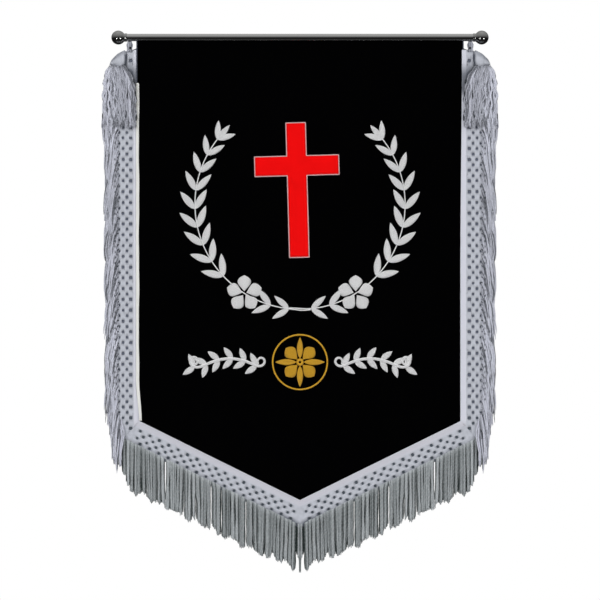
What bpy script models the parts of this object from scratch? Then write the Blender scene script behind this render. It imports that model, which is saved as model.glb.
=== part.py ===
"""Church banner on its hanging rod.

A black velvet cloth with a pointed foot hangs by a beaded hem from the slot of a chrome tube with ball
finials. A white netted heading with a fringe is sewn round its sides and foot, and a red cloth cross with a
pale edging is sewn on its front.

Metres. +Z is up and -Y is the front. The origin is on top of the rod, at its middle.
"""

import math
import random

import bmesh
import bpy
from mathutils import Matrix, Vector

# Rod and finials
ROD_RADIUS = 0.007
ROD_WALL = 0.001
ROD_SIDES = 24
SLOT_WIDTH = 0.0042
BALL_RADIUS = 0.013
BALL_CENTRE_X = 0.339
COLLAR_RADIUS = 0.0082
COLLAR_INNER_X = 0.3228
COLLAR_BORE_DEPTH = 0.0085
FINIAL_SIDES = 18
BALL_RINGS = 8

# Cloth
CLOTH_THICKNESS = 0.0016
HEM_BEAD_RADIUS = 0.0034
HEM_BEAD_SIDES = 10
HEM_BEAD_OVERHANG = 0.0002
PANEL_HALF = 0.299
SIDE_DROP = 0.7225
POINT_DROP = 0.870
SEAM_ALLOWANCE = 0.040
# The cloth's top corner, in steps: how far it reaches to the side, and from what height down
CORNER_STEPS = ((0.304, -0.007), (0.324, -0.0315), (0.339, -0.060))
CLOTH_COLUMN_STEP = 0.044
CLOTH_ROWS = 16
FOLD_DEPTH = 0.0022
FOLD_PITCH = 0.44
FOLD_START = 0.7

# Heading: the netted tape that carries the fringe
HEADING_WIDTH = 0.047
HEADING_THICKNESS = 0.0012
HEADING_TOP = -0.030
HOLE_PITCH = 0.0203
FIRST_HOLE_ROW = 0.0175
HOLE_ROW_STEP = 0.0072
SIDE_HOLE_ROWS = 2
FOOT_HOLE_ROWS = 4
SIDE_HOLES_TOP = -0.190
LARGE_HOLE_RADIUS = 0.0031
SMALL_HOLE_RADIUS = 0.0027
TOP_HOLE = (0.3165, -0.0507)
HOLE_CLEAR_OF_MITRE = 0.005
FOOT_ROW_STARTS = (0.42, 0.92)
TAIL_RISE = 0.012
TAIL_DEPTH = 0.0002
# The tape's rounded outer corner, then the tail that goes up into the rod's slot
TAPE_CORNER = (
    (0.3460, -0.0740), (0.3425, -0.0560), (0.3345, -0.0400), (0.3225, -0.0310),
    (0.3235, -0.0240), (0.3212, -0.0150), (0.3200, -0.0085),
    (0.3155, -0.0085), (0.3145, -0.0150), (0.3122, -0.0230), (0.3130, -0.0300),
)
EDGE_STEP = 0.036

# Fringe
STRIP_WIDTH = 0.004
STRIP_THICKNESS = 0.0026
FRINGE_LENGTH = 0.083
SIDE_STRAND_PITCH = 0.0100
SIDE_SPREAD_AT_FOOT = 0.2
SIDE_SPREAD_EASES = 0.09
# A side strand: how far out, share of its length down, share of its layer's depth, radius
SIDE_STRAND = (
    (0.0, 0.0, 0.0, 0.0009),
    (0.0020, 0.08, 1.0, 0.0016),
    (0.0098, 0.35, 1.0, 0.0018),
    (0.0168, 1.0, 1.0, 0.0014),
)
SIDE_FRINGE_TOP = -0.088
SIDE_STRAND_START = 0.004
SIDE_LAYERS = 3
FIRST_LAYER = 0.0030
LAYER_STEP = 0.0026
FOOT_STRAND_PITCH = 0.0072
# A foot strand: share of its sway and depth, share of its length down, radius
FOOT_STRAND = ((0.0, 0.0, 0.0010), (0.6, 0.22, 0.0033), (1.0, 1.0, 0.0026))
FOOT_STRAND_START = 0.0037
FOOT_STRAND_SWAY = 0.0006
FOOT_STRAND_FORWARD = 0.0030
ROLL_CENTRE = (0.3395, -0.0495)
ROLL_TURN = math.radians(44)
ROLL_HALF_SIZES = (0.0225, 0.0062, 0.0145)
SHOULDER_STRANDS = 14
SHOULDER_ROOTS = (0.3270, 0.3550)
SHOULDER_TIPS = (0.3050, 0.3680)
SHOULDER_ROOT_Z = -0.0450
SHOULDER_ROOT_SLOPE = 0.0110
SHOULDER_LENGTH = 0.125
SHOULDER_DEPTH = 0.0146
SHOULDER_LAYER_STEP = 0.0036
# A shoulder strand: share of its way out, share of its length down, share of its depth, radius
SHOULDER_STRAND = (
    (0.0, 0.0, 0.0, 0.0016),
    (0.3, 0.17, 1.0, 0.0022),
    (0.85, 0.47, 1.0, 0.0023),
    (1.0, 1.0, 1.0, 0.0017),
)

# Cross
CROSS_CENTRE = (-0.0047, -0.2916)
CROSS_TALL = 0.250
CROSS_WIDE = 0.156
CROSS_BAR = 0.0355
CROSS_ARM_BELOW_TOP = 0.0795
CROSS_TILT = math.radians(1.6)
CROSS_THICKNESS = 0.0010
CROSS_STEP = 0.040
EDGING_WIDTH = 0.0022
EDGING_THICKNESS = 0.0014

# Cream strip along the left edge
EDGE_STRIP_WIDTH = 0.007
EDGE_STRIP_TOP = -0.092
EDGE_STRIP_THICKNESS = 0.0008

SEWN_GAP = 0.0004
JOIN_GAP = 0.0003
AXIS_Z = -ROD_RADIUS

CLOTH_TOP_HALF = CORNER_STEPS[0][0]
POINT_TAN = (POINT_DROP - SIDE_DROP) / PANEL_HALF
POINT_ANGLE = math.atan(POINT_TAN)
OUTER_HALF = PANEL_HALF + HEADING_WIDTH
OUTER_POINT_DROP = POINT_DROP + HEADING_WIDTH / math.cos(POINT_ANGLE)
OUTER_SIDE_DROP = OUTER_POINT_DROP - POINT_TAN * OUTER_HALF
CLOTH_FRONT = CLOTH_THICKNESS / 2
HEADING_BACK = CLOTH_FRONT + SEWN_GAP
HEADING_MIDDLE = HEADING_BACK + HEADING_THICKNESS / 2
ROLL_MIDDLE = HEADING_BACK + HEADING_THICKNESS + JOIN_GAP + ROLL_HALF_SIZES[1]

FINISHES = {
    "chrome": ((0.62, 0.62, 0.61), 0.12, 1.0),
    "velvet": ((0.004, 0.004, 0.005), 0.95, 0.0),
    "heading": ((0.66, 0.67, 0.72), 0.70, 0.0),
    "fringe": ((0.58, 0.60, 0.63), 0.65, 0.0),
    "cross": ((0.80, 0.01, 0.01), 0.60, 0.0),
    "edging": ((0.86, 0.62, 0.62), 0.60, 0.0),
    "edge_strip": ((0.80, 0.80, 0.74), 0.65, 0.0),
}


def clear_scene():
    for obj in list(bpy.data.objects):
        bpy.data.objects.remove(obj)


def material(name):
    """The Principled material of one finish, made once."""
    found = bpy.data.materials.get(name)
    if found:
        return found
    colour, roughness, metallic = FINISHES[name]
    made = bpy.data.materials.new(name)
    made.use_nodes = True
    shader = made.node_tree.nodes["Principled BSDF"]
    shader.inputs["Base Color"].default_value = (*colour, 1)
    shader.inputs["Roughness"].default_value = roughness
    shader.inputs["Metallic"].default_value = metallic
    return made


def link(name, data, group, finish=None):
    """A new object for this mesh or curve in one of the two collections."""
    obj = bpy.data.objects.new(name, data)
    group.objects.link(obj)
    if finish:
        data.materials.clear()
        data.materials.append(material(finish))
    return obj


def mesh_of(shape):
    """A mesh object in place of a curve, its caps welded and its faces pointing out."""
    bpy.context.view_layer.update()
    graph = bpy.context.evaluated_depsgraph_get()
    mesh = bpy.data.meshes.new_from_object(shape.evaluated_get(graph))
    mesh.transform(shape.matrix_world)
    build = bmesh.new()
    build.from_mesh(mesh)
    bmesh.ops.remove_doubles(build, verts=build.verts, dist=1e-6)
    bmesh.ops.recalc_face_normals(build, faces=build.faces)
    build.to_mesh(mesh)
    build.free()
    name = shape.name
    group = shape.users_collection[0]
    bpy.data.objects.remove(shape)
    obj = bpy.data.objects.new(name, mesh)
    group.objects.link(obj)
    return obj


def drape(x, z):
    """How far back the hanging cloth stands: soft upright folds that deepen towards the foot."""
    hang = -z / POINT_DROP
    return FOLD_DEPTH * hang * math.sin(math.tau * x / FOLD_PITCH + FOLD_START)


def lay_on_cloth(obj, in_front):
    """Bends a flat piece to the cloth's folds, its middle this far in front of the cloth's middle."""
    for vertex in obj.data.vertices:
        vertex.co.y += drape(vertex.co.x, vertex.co.z) - in_front


def flat_piece(name, loops, thickness, group):
    """A flat plate in the XZ plane from closed outlines, the first one round the others, which are holes."""
    curve = bpy.data.curves.new(name, "CURVE")
    curve.dimensions = "2D"
    curve.fill_mode = "BOTH"
    curve.extrude = thickness / 2
    for loop in loops:
        spline = curve.splines.new("POLY")
        spline.points.add(len(loop) - 1)
        for point, (x, z) in zip(spline.points, loop):
            point.co = (x, z, 0, 1)
        spline.use_cyclic_u = True
    obj = link(name, curve, group)
    obj.rotation_euler = (math.pi / 2, 0, 0)
    return mesh_of(obj)


def sheet_piece(name, columns, rows, keep, group):
    """An open sheet in the XZ plane: columns are x values, rows give z for each x, keep picks the cells."""
    build = bmesh.new()
    across, down = len(columns) - 1, len(rows) - 1
    bmesh.ops.create_grid(build, x_segments=across, y_segments=down, size=0.5)
    for vertex in build.verts:
        i = round((vertex.co.x + 0.5) * across)
        j = round((0.5 - vertex.co.y) * down)
        vertex.co = (columns[i], 0, rows[j](columns[i]))
    dropped = [f for f in build.faces if not keep(*f.calc_center_median().xz)]
    bmesh.ops.delete(build, geom=dropped, context="FACES")
    mesh = bpy.data.meshes.new(name)
    build.to_mesh(mesh)
    build.free()
    return link(name, mesh, group)


def thicken(obj, thickness):
    """Gives an open sheet its thickness, half to each side."""
    solidify = obj.modifiers.new("thickness", "SOLIDIFY")
    solidify.thickness = thickness
    solidify.offset = 0
    solidify.use_even_offset = True


def join(obj, other):
    """Boolean union of a hidden helper into obj; the helper's own shapes may cross each other."""
    other.hide_render = True
    other.display_type = "WIRE"
    union = obj.modifiers.new("join", "BOOLEAN")
    union.operation = "UNION"
    union.object = other
    union.use_self = True


def spaced(start, end, step):
    """Evenly spaced values from start to end, no further apart than step."""
    count = max(1, math.ceil(abs(end - start) / step))
    return [start + (end - start) * i / count for i in range(count + 1)]


def along(points, step=EDGE_STEP):
    """The corners of a closed outline with more points on its long sides, so that it can bend."""
    made = []
    for (x0, z0), (x1, z1) in zip(points, points[1:] + points[:1]):
        count = max(1, math.ceil(math.hypot(x1 - x0, z1 - z0) / step))
        made += [(x0 + (x1 - x0) * i / count, z0 + (z1 - z0) * i / count) for i in range(count)]
    return made


def make_rod(parts):
    """Chrome tube with a slot along its underside."""
    inner = ROD_RADIUS - ROD_WALL
    outline = []
    for radius, turn in ((ROD_RADIUS, 1), (inner, -1)):
        slot_half = math.asin(SLOT_WIDTH / 2 / radius)
        arc = [
            -math.pi / 2 + slot_half + (math.tau - 2 * slot_half) * i / ROD_SIDES
            for i in range(ROD_SIDES + 1)
        ]
        outline += [(radius * math.cos(a), radius * math.sin(a)) for a in arc[::turn]]
    rod = flat_piece("rod", [outline], 2 * (COLLAR_INNER_X + COLLAR_BORE_DEPTH - JOIN_GAP), parts)
    rod.data.transform(Matrix.Translation((0, 0, AXIS_Z)) @ Matrix.Rotation(math.pi / 2, 4, "Z"))
    rod.data.materials.append(material("chrome"))
    rod.data.shade_smooth()
    rod.data.set_sharp_from_angle(angle=math.radians(30))


def make_finial(side, parts):
    """Turned ball with a bored collar that caps the tube's end."""
    bore = ROD_RADIUS + JOIN_GAP
    bore_end = COLLAR_INNER_X + COLLAR_BORE_DEPTH
    meets = BALL_CENTRE_X - math.sqrt(BALL_RADIUS**2 - COLLAR_RADIUS**2)
    first = math.acos((meets - BALL_CENTRE_X) / BALL_RADIUS)
    arc = [first * i / BALL_RINGS for i in range(BALL_RINGS + 1)]
    profile = [
        (BALL_RADIUS * math.sin(a), BALL_CENTRE_X + BALL_RADIUS * math.cos(a)) for a in arc
    ]
    profile += [(COLLAR_RADIUS, COLLAR_INNER_X), (bore, COLLAR_INNER_X), (bore, bore_end), (0, bore_end)]
    name = "finial_right" if side > 0 else "finial_left"
    mesh = bpy.data.meshes.new(name)
    edges = [(i, i + 1) for i in range(len(profile) - 1)]
    mesh.from_pydata([(r, 0, h) for r, h in profile], edges, [])
    finial = link(name, mesh, parts, "chrome")
    screw = finial.modifiers.new("turn", "SCREW")
    screw.steps = screw.render_steps = FINIAL_SIDES
    screw.use_merge_vertices = True
    screw.merge_threshold = 0.00001
    screw.use_smooth_shade = True
    finial.location = (0, 0, AXIS_Z)
    finial.rotation_euler = (0, side * math.pi / 2, 0)


def make_cloth(parts, helpers):
    """Velvet cloth with a pointed foot, its side allowances under the heading and a bead in its top hem."""
    lip = math.sqrt((ROD_RADIUS - ROD_WALL) ** 2 - (SLOT_WIDTH / 2) ** 2)
    rise = math.sqrt((HEM_BEAD_RADIUS + JOIN_GAP) ** 2 - (SLOT_WIDTH / 2) ** 2)
    bead_z = AXIS_Z - lip + rise
    shoulder = CORNER_STEPS[1][1]
    point = -POINT_DROP - SEAM_ALLOWANCE / math.cos(POINT_ANGLE)

    def row(share):
        return lambda x: shoulder + (point + POINT_TAN * abs(x) - shoulder) * share

    def within(x, z):
        return any(abs(x) < half and z < top for half, top in CORNER_STEPS)

    columns = [-half for half, top in reversed(CORNER_STEPS)]
    columns += spaced(-CLOTH_TOP_HALF, 0, CLOTH_COLUMN_STEP)[1:]
    columns += [-x for x in reversed(columns[:-1])]
    rows = [lambda x: bead_z] + [row(share) for share in spaced(0, 1, 1 / CLOTH_ROWS)]
    cloth = sheet_piece("banner_cloth", columns, rows, within, parts)
    lay_on_cloth(cloth, 0)
    thicken(cloth, CLOTH_THICKNESS)

    build = bmesh.new()
    turn = Matrix.Translation((0, 0, bead_z)) @ Matrix.Rotation(math.pi / 2, 4, "Y")
    bmesh.ops.create_cone(
        build, cap_ends=True, segments=HEM_BEAD_SIDES, radius1=HEM_BEAD_RADIUS,
        radius2=HEM_BEAD_RADIUS, depth=2 * (CLOTH_TOP_HALF + HEM_BEAD_OVERHANG), matrix=turn,
    )
    mesh = bpy.data.meshes.new("hem_bead")
    build.to_mesh(mesh)
    build.free()
    join(cloth, link("hem_bead", mesh, helpers))
    cloth.data.materials.append(material("velvet"))


def hole(x, z, radius):
    """A four-sided gap of the net, standing on its point."""
    return [(x + radius, z), (x, z + radius), (x - radius, z), (x, z - radius)]


def make_side_heading(side, parts):
    """Netted tape down one side, its top end narrowed to a tail that is tucked into the rod's slot."""
    cut = JOIN_GAP / 2
    outline = [
        (PANEL_HALF, -SIDE_DROP + cut), (OUTER_HALF, -OUTER_SIDE_DROP + cut),
        *TAPE_CORNER,
        (PANEL_HALF, HEADING_TOP),
    ]
    loops = [along(outline), hole(*TOP_HOLE, SMALL_HOLE_RADIUS)]
    for number in range(SIDE_HOLE_ROWS):
        across = PANEL_HALF + FIRST_HOLE_ROW + number * HOLE_ROW_STEP
        mitre = -SIDE_DROP - (across - PANEL_HALF) * (OUTER_SIDE_DROP - SIDE_DROP) / HEADING_WIDTH
        radius = SMALL_HOLE_RADIUS if number else LARGE_HOLE_RADIUS
        z = SIDE_HOLES_TOP - (number % 2) * HOLE_PITCH / 2
        while z > mitre + HOLE_CLEAR_OF_MITRE:
            loops.append(hole(across, z, radius))
            z -= HOLE_PITCH
    loops = [[(side * x, z) for x, z in loop] for loop in loops]
    name = "heading_right" if side > 0 else "heading_left"
    heading = flat_piece(name, loops, HEADING_THICKNESS, parts)
    lay_on_cloth(heading, HEADING_MIDDLE)
    for vertex in heading.data.vertices:
        rise = min(1, max(0, (vertex.co.z - HEADING_TOP) / TAIL_RISE))
        vertex.co.y += rise * (HEADING_MIDDLE - TAIL_DEPTH)
    heading.data.materials.append(material("heading"))


def make_foot_heading(parts):
    """Netted tape along both slopes of the pointed foot, in one length."""
    across, up = math.cos(POINT_ANGLE), math.sin(POINT_ANGLE)
    cut = JOIN_GAP / 2
    outline = [
        (-PANEL_HALF, -SIDE_DROP - cut), (0, -POINT_DROP), (PANEL_HALF, -SIDE_DROP - cut),
        (OUTER_HALF, -OUTER_SIDE_DROP - cut), (0, -OUTER_POINT_DROP),
        (-OUTER_HALF, -OUTER_SIDE_DROP - cut),
    ]
    loops = [along(outline)]
    for number in range(FOOT_HOLE_ROWS):
        offset = FIRST_HOLE_ROW + number * HOLE_ROW_STEP
        radius = SMALL_HOLE_RADIUS if number else LARGE_HOLE_RADIUS
        row_end = PANEL_HALF / across + offset * (OUTER_HALF - PANEL_HALF) / HEADING_WIDTH
        run = HOLE_PITCH * FOOT_ROW_STARTS[number % 2]
        while run < row_end - HOLE_CLEAR_OF_MITRE:
            x, z = run * across, -POINT_DROP - offset / across + run * up
            loops += [hole(x, z, radius), hole(-x, z, radius)]
            run += HOLE_PITCH
    heading = flat_piece("heading_foot", loops, HEADING_THICKNESS, parts)
    lay_on_cloth(heading, HEADING_MIDDLE)
    heading.data.materials.append(material("heading"))


def strands(name, paths, helpers):
    """Three-sided strands, each along a path of points with the strand's radius there."""
    triangle = bpy.data.curves.new(name + "_section", "CURVE")
    triangle.dimensions = "2D"
    corners = triangle.splines.new("POLY")
    corners.points.add(2)
    for i, point in enumerate(corners.points):
        point.co = (math.cos(math.tau * i / 3), math.sin(math.tau * i / 3), 0, 1)
    corners.use_cyclic_u = True
    section = link(name + "_section", triangle, helpers)
    section.hide_render = True

    curve = bpy.data.curves.new(name + "_strands", "CURVE")
    curve.dimensions = "3D"
    curve.bevel_mode = "OBJECT"
    curve.bevel_object = section
    curve.use_fill_caps = True
    for path in paths:
        spline = curve.splines.new("POLY")
        spline.points.add(len(path) - 1)
        for point, (x, y, z, radius) in zip(spline.points, path):
            point.co = (x, y, z, 1)
            point.radius = radius
    return mesh_of(link(name + "_strands", curve, helpers))


def add_fringe(backing, paths, helpers):
    """Fuses strands into their backing and gives the whole its finish."""
    lock = strands(backing.name, paths, helpers)
    join(backing, lock)
    backing.data.materials.clear()
    backing.data.materials.append(material("fringe"))


def make_side_fringe(side, parts, helpers):
    """Narrow strip beside the heading with strands that lean out and fall down the edge in layers."""
    chance = random.Random(11 + side)
    inner, outer = OUTER_HALF + JOIN_GAP, OUTER_HALF + JOIN_GAP + STRIP_WIDTH
    run = spaced(SIDE_FRINGE_TOP, -OUTER_SIDE_DROP, EDGE_STEP)
    loop = [(side * inner, z) for z in run] + [(side * outer, z) for z in reversed(run)]
    name = "fringe_right" if side > 0 else "fringe_left"
    strip = flat_piece(name, [loop], STRIP_THICKNESS, parts)
    lay_on_cloth(strip, HEADING_MIDDLE)

    paths = []
    middle = (inner + outer) / 2
    count = int((SIDE_FRINGE_TOP + OUTER_SIDE_DROP - 2 * SIDE_STRAND_START) / SIDE_STRAND_PITCH)
    for i in range(count):
        z = SIDE_FRINGE_TOP - SIDE_STRAND_START - i * SIDE_STRAND_PITCH
        layer = FIRST_LAYER + (SIDE_LAYERS - 1 - i % SIDE_LAYERS) * LAYER_STEP
        length = FRINGE_LENGTH * chance.uniform(0.94, 1.04)
        spread = min(1, max(SIDE_SPREAD_AT_FOOT, (z + OUTER_SIDE_DROP) / SIDE_SPREAD_EASES))
        reach = spread * chance.uniform(0.92, 1.08)
        paths.append([
            (
                side * (middle + out * reach),
                drape(side * middle, z) - HEADING_MIDDLE - forward * layer,
                z - fall * length,
                radius,
            )
            for out, fall, forward, radius in SIDE_STRAND
        ])
    add_fringe(strip, paths, helpers)


def make_foot_fringe(side, parts, helpers):
    """Narrow strip under one slope of the foot with strands that hang straight down."""
    chance = random.Random(29 + side)
    across = math.cos(POINT_ANGLE)
    top = -OUTER_POINT_DROP - JOIN_GAP / across
    bottom = top - STRIP_WIDTH / across
    run = spaced(JOIN_GAP / 2, OUTER_HALF, EDGE_STEP)
    loop = [(x, top + POINT_TAN * x) for x in run]
    loop += [(x, bottom + POINT_TAN * x) for x in reversed(run)]
    loop = [(side * x, z) for x, z in loop]
    name = "fringe_foot_right" if side > 0 else "fringe_foot_left"
    strip = flat_piece(name, [loop], STRIP_THICKNESS, parts)
    lay_on_cloth(strip, HEADING_MIDDLE)

    paths = []
    count = int((OUTER_HALF - FOOT_STRAND_START) / FOOT_STRAND_PITCH)
    for i in range(count):
        x = FOOT_STRAND_START + i * FOOT_STRAND_PITCH
        z = (top + bottom) / 2 + POINT_TAN * x
        length = FRINGE_LENGTH * chance.uniform(0.92, 1.03)
        sway = chance.uniform(-FOOT_STRAND_SWAY, FOOT_STRAND_SWAY)
        forward = chance.uniform(0.0, FOOT_STRAND_FORWARD)
        paths.append([
            (
                side * (x + share * sway),
                drape(side * x, z) - HEADING_MIDDLE - share * forward,
                z - fall * length,
                radius,
            )
            for share, fall, radius in FOOT_STRAND
        ])
    add_fringe(strip, paths, helpers)


def make_shoulder_fringe(side, parts, helpers):
    """The heading's turned-over top corner, a soft roll, with the strands that fall from it over the tape."""
    chance = random.Random(43 + side)
    build = bmesh.new()
    bmesh.ops.create_uvsphere(build, u_segments=14, v_segments=9, radius=1)
    across, down = ROLL_CENTRE
    place = (
        Matrix.Translation((side * across, -ROLL_MIDDLE, down))
        @ Matrix.Rotation(side * ROLL_TURN, 4, "Y")
        @ Matrix.Diagonal((*ROLL_HALF_SIZES, 1))
    )
    bmesh.ops.transform(build, matrix=place, verts=build.verts)
    name = "fringe_shoulder_right" if side > 0 else "fringe_shoulder_left"
    mesh = bpy.data.meshes.new(name)
    build.to_mesh(mesh)
    build.free()
    roll = link(name, mesh, parts)

    paths = []
    for i in range(SHOULDER_STRANDS):
        share = i / (SHOULDER_STRANDS - 1)
        root_x, tip_x = (low + (high - low) * share for low, high in (SHOULDER_ROOTS, SHOULDER_TIPS))
        root_z = SHOULDER_ROOT_Z - SHOULDER_ROOT_SLOPE * share
        length = SHOULDER_LENGTH * chance.uniform(0.92, 1.08)
        depth = SHOULDER_DEPTH + SHOULDER_LAYER_STEP * (i % 2)
        paths.append([
            (
                side * (root_x + out * (tip_x - root_x)),
                -ROLL_MIDDLE - forward * (depth - ROLL_MIDDLE),
                root_z - fall * length,
                radius,
            )
            for out, fall, forward, radius in SHOULDER_STRAND
        ])
    add_fringe(roll, paths, helpers)


def on_cross(x, z):
    """A point of the upright cross, measured from its middle, in the banner's place and tilt."""
    turned = Matrix.Rotation(CROSS_TILT, 2) @ Vector((x, z))
    return turned.x + CROSS_CENTRE[0], turned.y + CROSS_CENTRE[1]


def cross_corners(grow):
    """The twelve corners of the cross, grown by this much all round."""
    wide, tall, bar = CROSS_WIDE / 2 + grow, CROSS_TALL / 2 + grow, CROSS_BAR / 2 + grow
    arm = CROSS_TALL / 2 - CROSS_ARM_BELOW_TOP
    right = [
        (bar, tall), (bar, arm + bar), (wide, arm + bar), (wide, arm - bar), (bar, arm - bar), (bar, -tall),
    ]
    return right + [(-x, z) for x, z in reversed(right)]


def make_cross(parts):
    """Red cloth cross sewn on the velvet."""
    wide, tall, bar = CROSS_WIDE / 2, CROSS_TALL / 2, CROSS_BAR / 2
    arm = tall - CROSS_ARM_BELOW_TOP
    columns = [*spaced(-wide, -bar, CROSS_STEP), *spaced(bar, wide, CROSS_STEP)]
    heights = [*spaced(tall, arm + bar, CROSS_STEP), *spaced(arm - bar, -tall, CROSS_STEP)]
    cross = sheet_piece(
        "cross", columns, [lambda x, z=z: z for z in heights],
        lambda x, z: abs(x) < bar or abs(z - arm) < bar, parts,
    )
    for vertex in cross.data.vertices:
        vertex.co.x, vertex.co.z = on_cross(vertex.co.x, vertex.co.z)
    lay_on_cloth(cross, CLOTH_FRONT + SEWN_GAP + CROSS_THICKNESS / 2)
    thicken(cross, CROSS_THICKNESS)
    cross.data.materials.append(material("cross"))


def make_cross_edging(parts):
    """Pale cord sewn round the cross."""
    loops = [
        [on_cross(x, z) for x, z in along(cross_corners(grow), CROSS_STEP)]
        for grow in (EDGING_WIDTH + JOIN_GAP, JOIN_GAP)
    ]
    edging = flat_piece("cross_edging", loops, EDGING_THICKNESS, parts)
    lay_on_cloth(edging, CLOTH_FRONT + SEWN_GAP + EDGING_THICKNESS / 2)
    edging.data.materials.append(material("edging"))


def make_edge_strip(parts):
    """Cream strip on the inner edge of the left heading."""
    front = HEADING_BACK + HEADING_THICKNESS + SEWN_GAP
    heights = spaced(EDGE_STRIP_TOP, -SIDE_DROP + 0.001, EDGE_STEP)
    columns = [-PANEL_HALF - EDGE_STRIP_WIDTH, -PANEL_HALF]
    strip = sheet_piece(
        "edge_strip", columns, [lambda x, z=z: z for z in heights], lambda x, z: True, parts
    )
    lay_on_cloth(strip, front + EDGE_STRIP_THICKNESS / 2)
    thicken(strip, EDGE_STRIP_THICKNESS)
    strip.data.materials.append(material("edge_strip"))


def main():
    clear_scene()
    parts = bpy.data.collections.new("church_banner")
    helpers = bpy.data.collections.new("joined_shapes")
    bpy.context.scene.collection.children.link(parts)
    bpy.context.scene.collection.children.link(helpers)
    make_rod(parts)
    make_cloth(parts, helpers)
    make_foot_heading(parts)
    make_cross(parts)
    make_cross_edging(parts)
    make_edge_strip(parts)
    for side in (-1, 1):
        make_finial(side, parts)
        make_side_heading(side, parts)
        make_side_fringe(side, parts, helpers)
        make_foot_fringe(side, parts, helpers)
        make_shoulder_fringe(side, parts, helpers)


main()
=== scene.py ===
"""Looks of the church banner: velvet, netted tape, yarn fringe, stitching and chrome, in metres.

The origin is on top of the rod at its middle, +Z is up and the front faces -Y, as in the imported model.
"""
import math

import bmesh
import bpy
import numpy as np
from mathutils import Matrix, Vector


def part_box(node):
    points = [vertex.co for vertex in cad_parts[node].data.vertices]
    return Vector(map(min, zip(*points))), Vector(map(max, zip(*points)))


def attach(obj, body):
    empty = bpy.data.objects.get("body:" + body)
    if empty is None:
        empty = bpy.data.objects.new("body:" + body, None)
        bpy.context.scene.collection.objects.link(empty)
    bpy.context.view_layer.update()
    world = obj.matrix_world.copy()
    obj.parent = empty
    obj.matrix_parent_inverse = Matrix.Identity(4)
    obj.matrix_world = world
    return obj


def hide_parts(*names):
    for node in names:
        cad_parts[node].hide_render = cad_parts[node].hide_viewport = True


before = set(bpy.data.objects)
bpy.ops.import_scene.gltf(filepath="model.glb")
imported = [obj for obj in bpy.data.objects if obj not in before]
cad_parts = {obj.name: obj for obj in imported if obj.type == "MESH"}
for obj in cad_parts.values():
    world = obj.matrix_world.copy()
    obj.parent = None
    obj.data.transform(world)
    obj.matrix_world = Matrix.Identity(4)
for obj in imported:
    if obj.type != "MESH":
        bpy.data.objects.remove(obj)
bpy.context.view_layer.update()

# The hanging rod: a drawn steel tube, chrome plated, with a slot cut along its underside that grips the
# banner's beaded hem. It is polished, with faint draw lines along it.

SIDES = ((-1, "left"), (1, "right"))
ROD_LOW, ROD_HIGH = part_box("rod")
ROD_RADIUS = (ROD_HIGH[2] - ROD_LOW[2]) / 2 + 0.00003
ROD_AXIS = ROD_HIGH[2] - ROD_RADIUS
ROD_WALL = 0.001
SLOT_WIDTH = 0.0042
ARC_STEPS, TUBE_STATIONS = 48, 24
CHROME_COLOUR = (0.62, 0.62, 0.61, 1)
CHROME_ROUGHNESS = 0.09
SMUDGE_SCALE = 60
DRAW_LINE_SCALE = 900


def operation(name, turned=False):
    """A method that adds the Math node of this name, with its two inputs swapped if turned."""
    def apply(self, other=0.0):
        inputs = {0: other, 1: self} if turned else {0: self, 1: other}
        return self.nodes.node("ShaderNodeMath", {"operation": name}, inputs)

    return apply


class Wire:
    """A shader socket in plain arithmetic: each operator adds the Math node of the same name."""

    __add__ = __radd__ = operation("ADD")
    __mul__ = __rmul__ = operation("MULTIPLY")
    __sub__ = operation("SUBTRACT")
    __rsub__ = operation("SUBTRACT", turned=True)
    __truediv__ = operation("DIVIDE")
    __pow__ = operation("POWER")
    sine = operation("SINE")
    magnitude = operation("ABSOLUTE")
    larger = operation("MAXIMUM")
    smaller = operation("MINIMUM")

    def __init__(self, nodes, socket):
        self.nodes, self.socket = nodes, socket

    def clipped(self):
        return self.larger(0.0).smaller(1.0)

    def ridges(self, pitch):
        """One soft ridge to each pitch: half a sine, plus a half."""
        return (self * (math.tau / pitch)).sine() * 0.5 + 0.5


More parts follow.
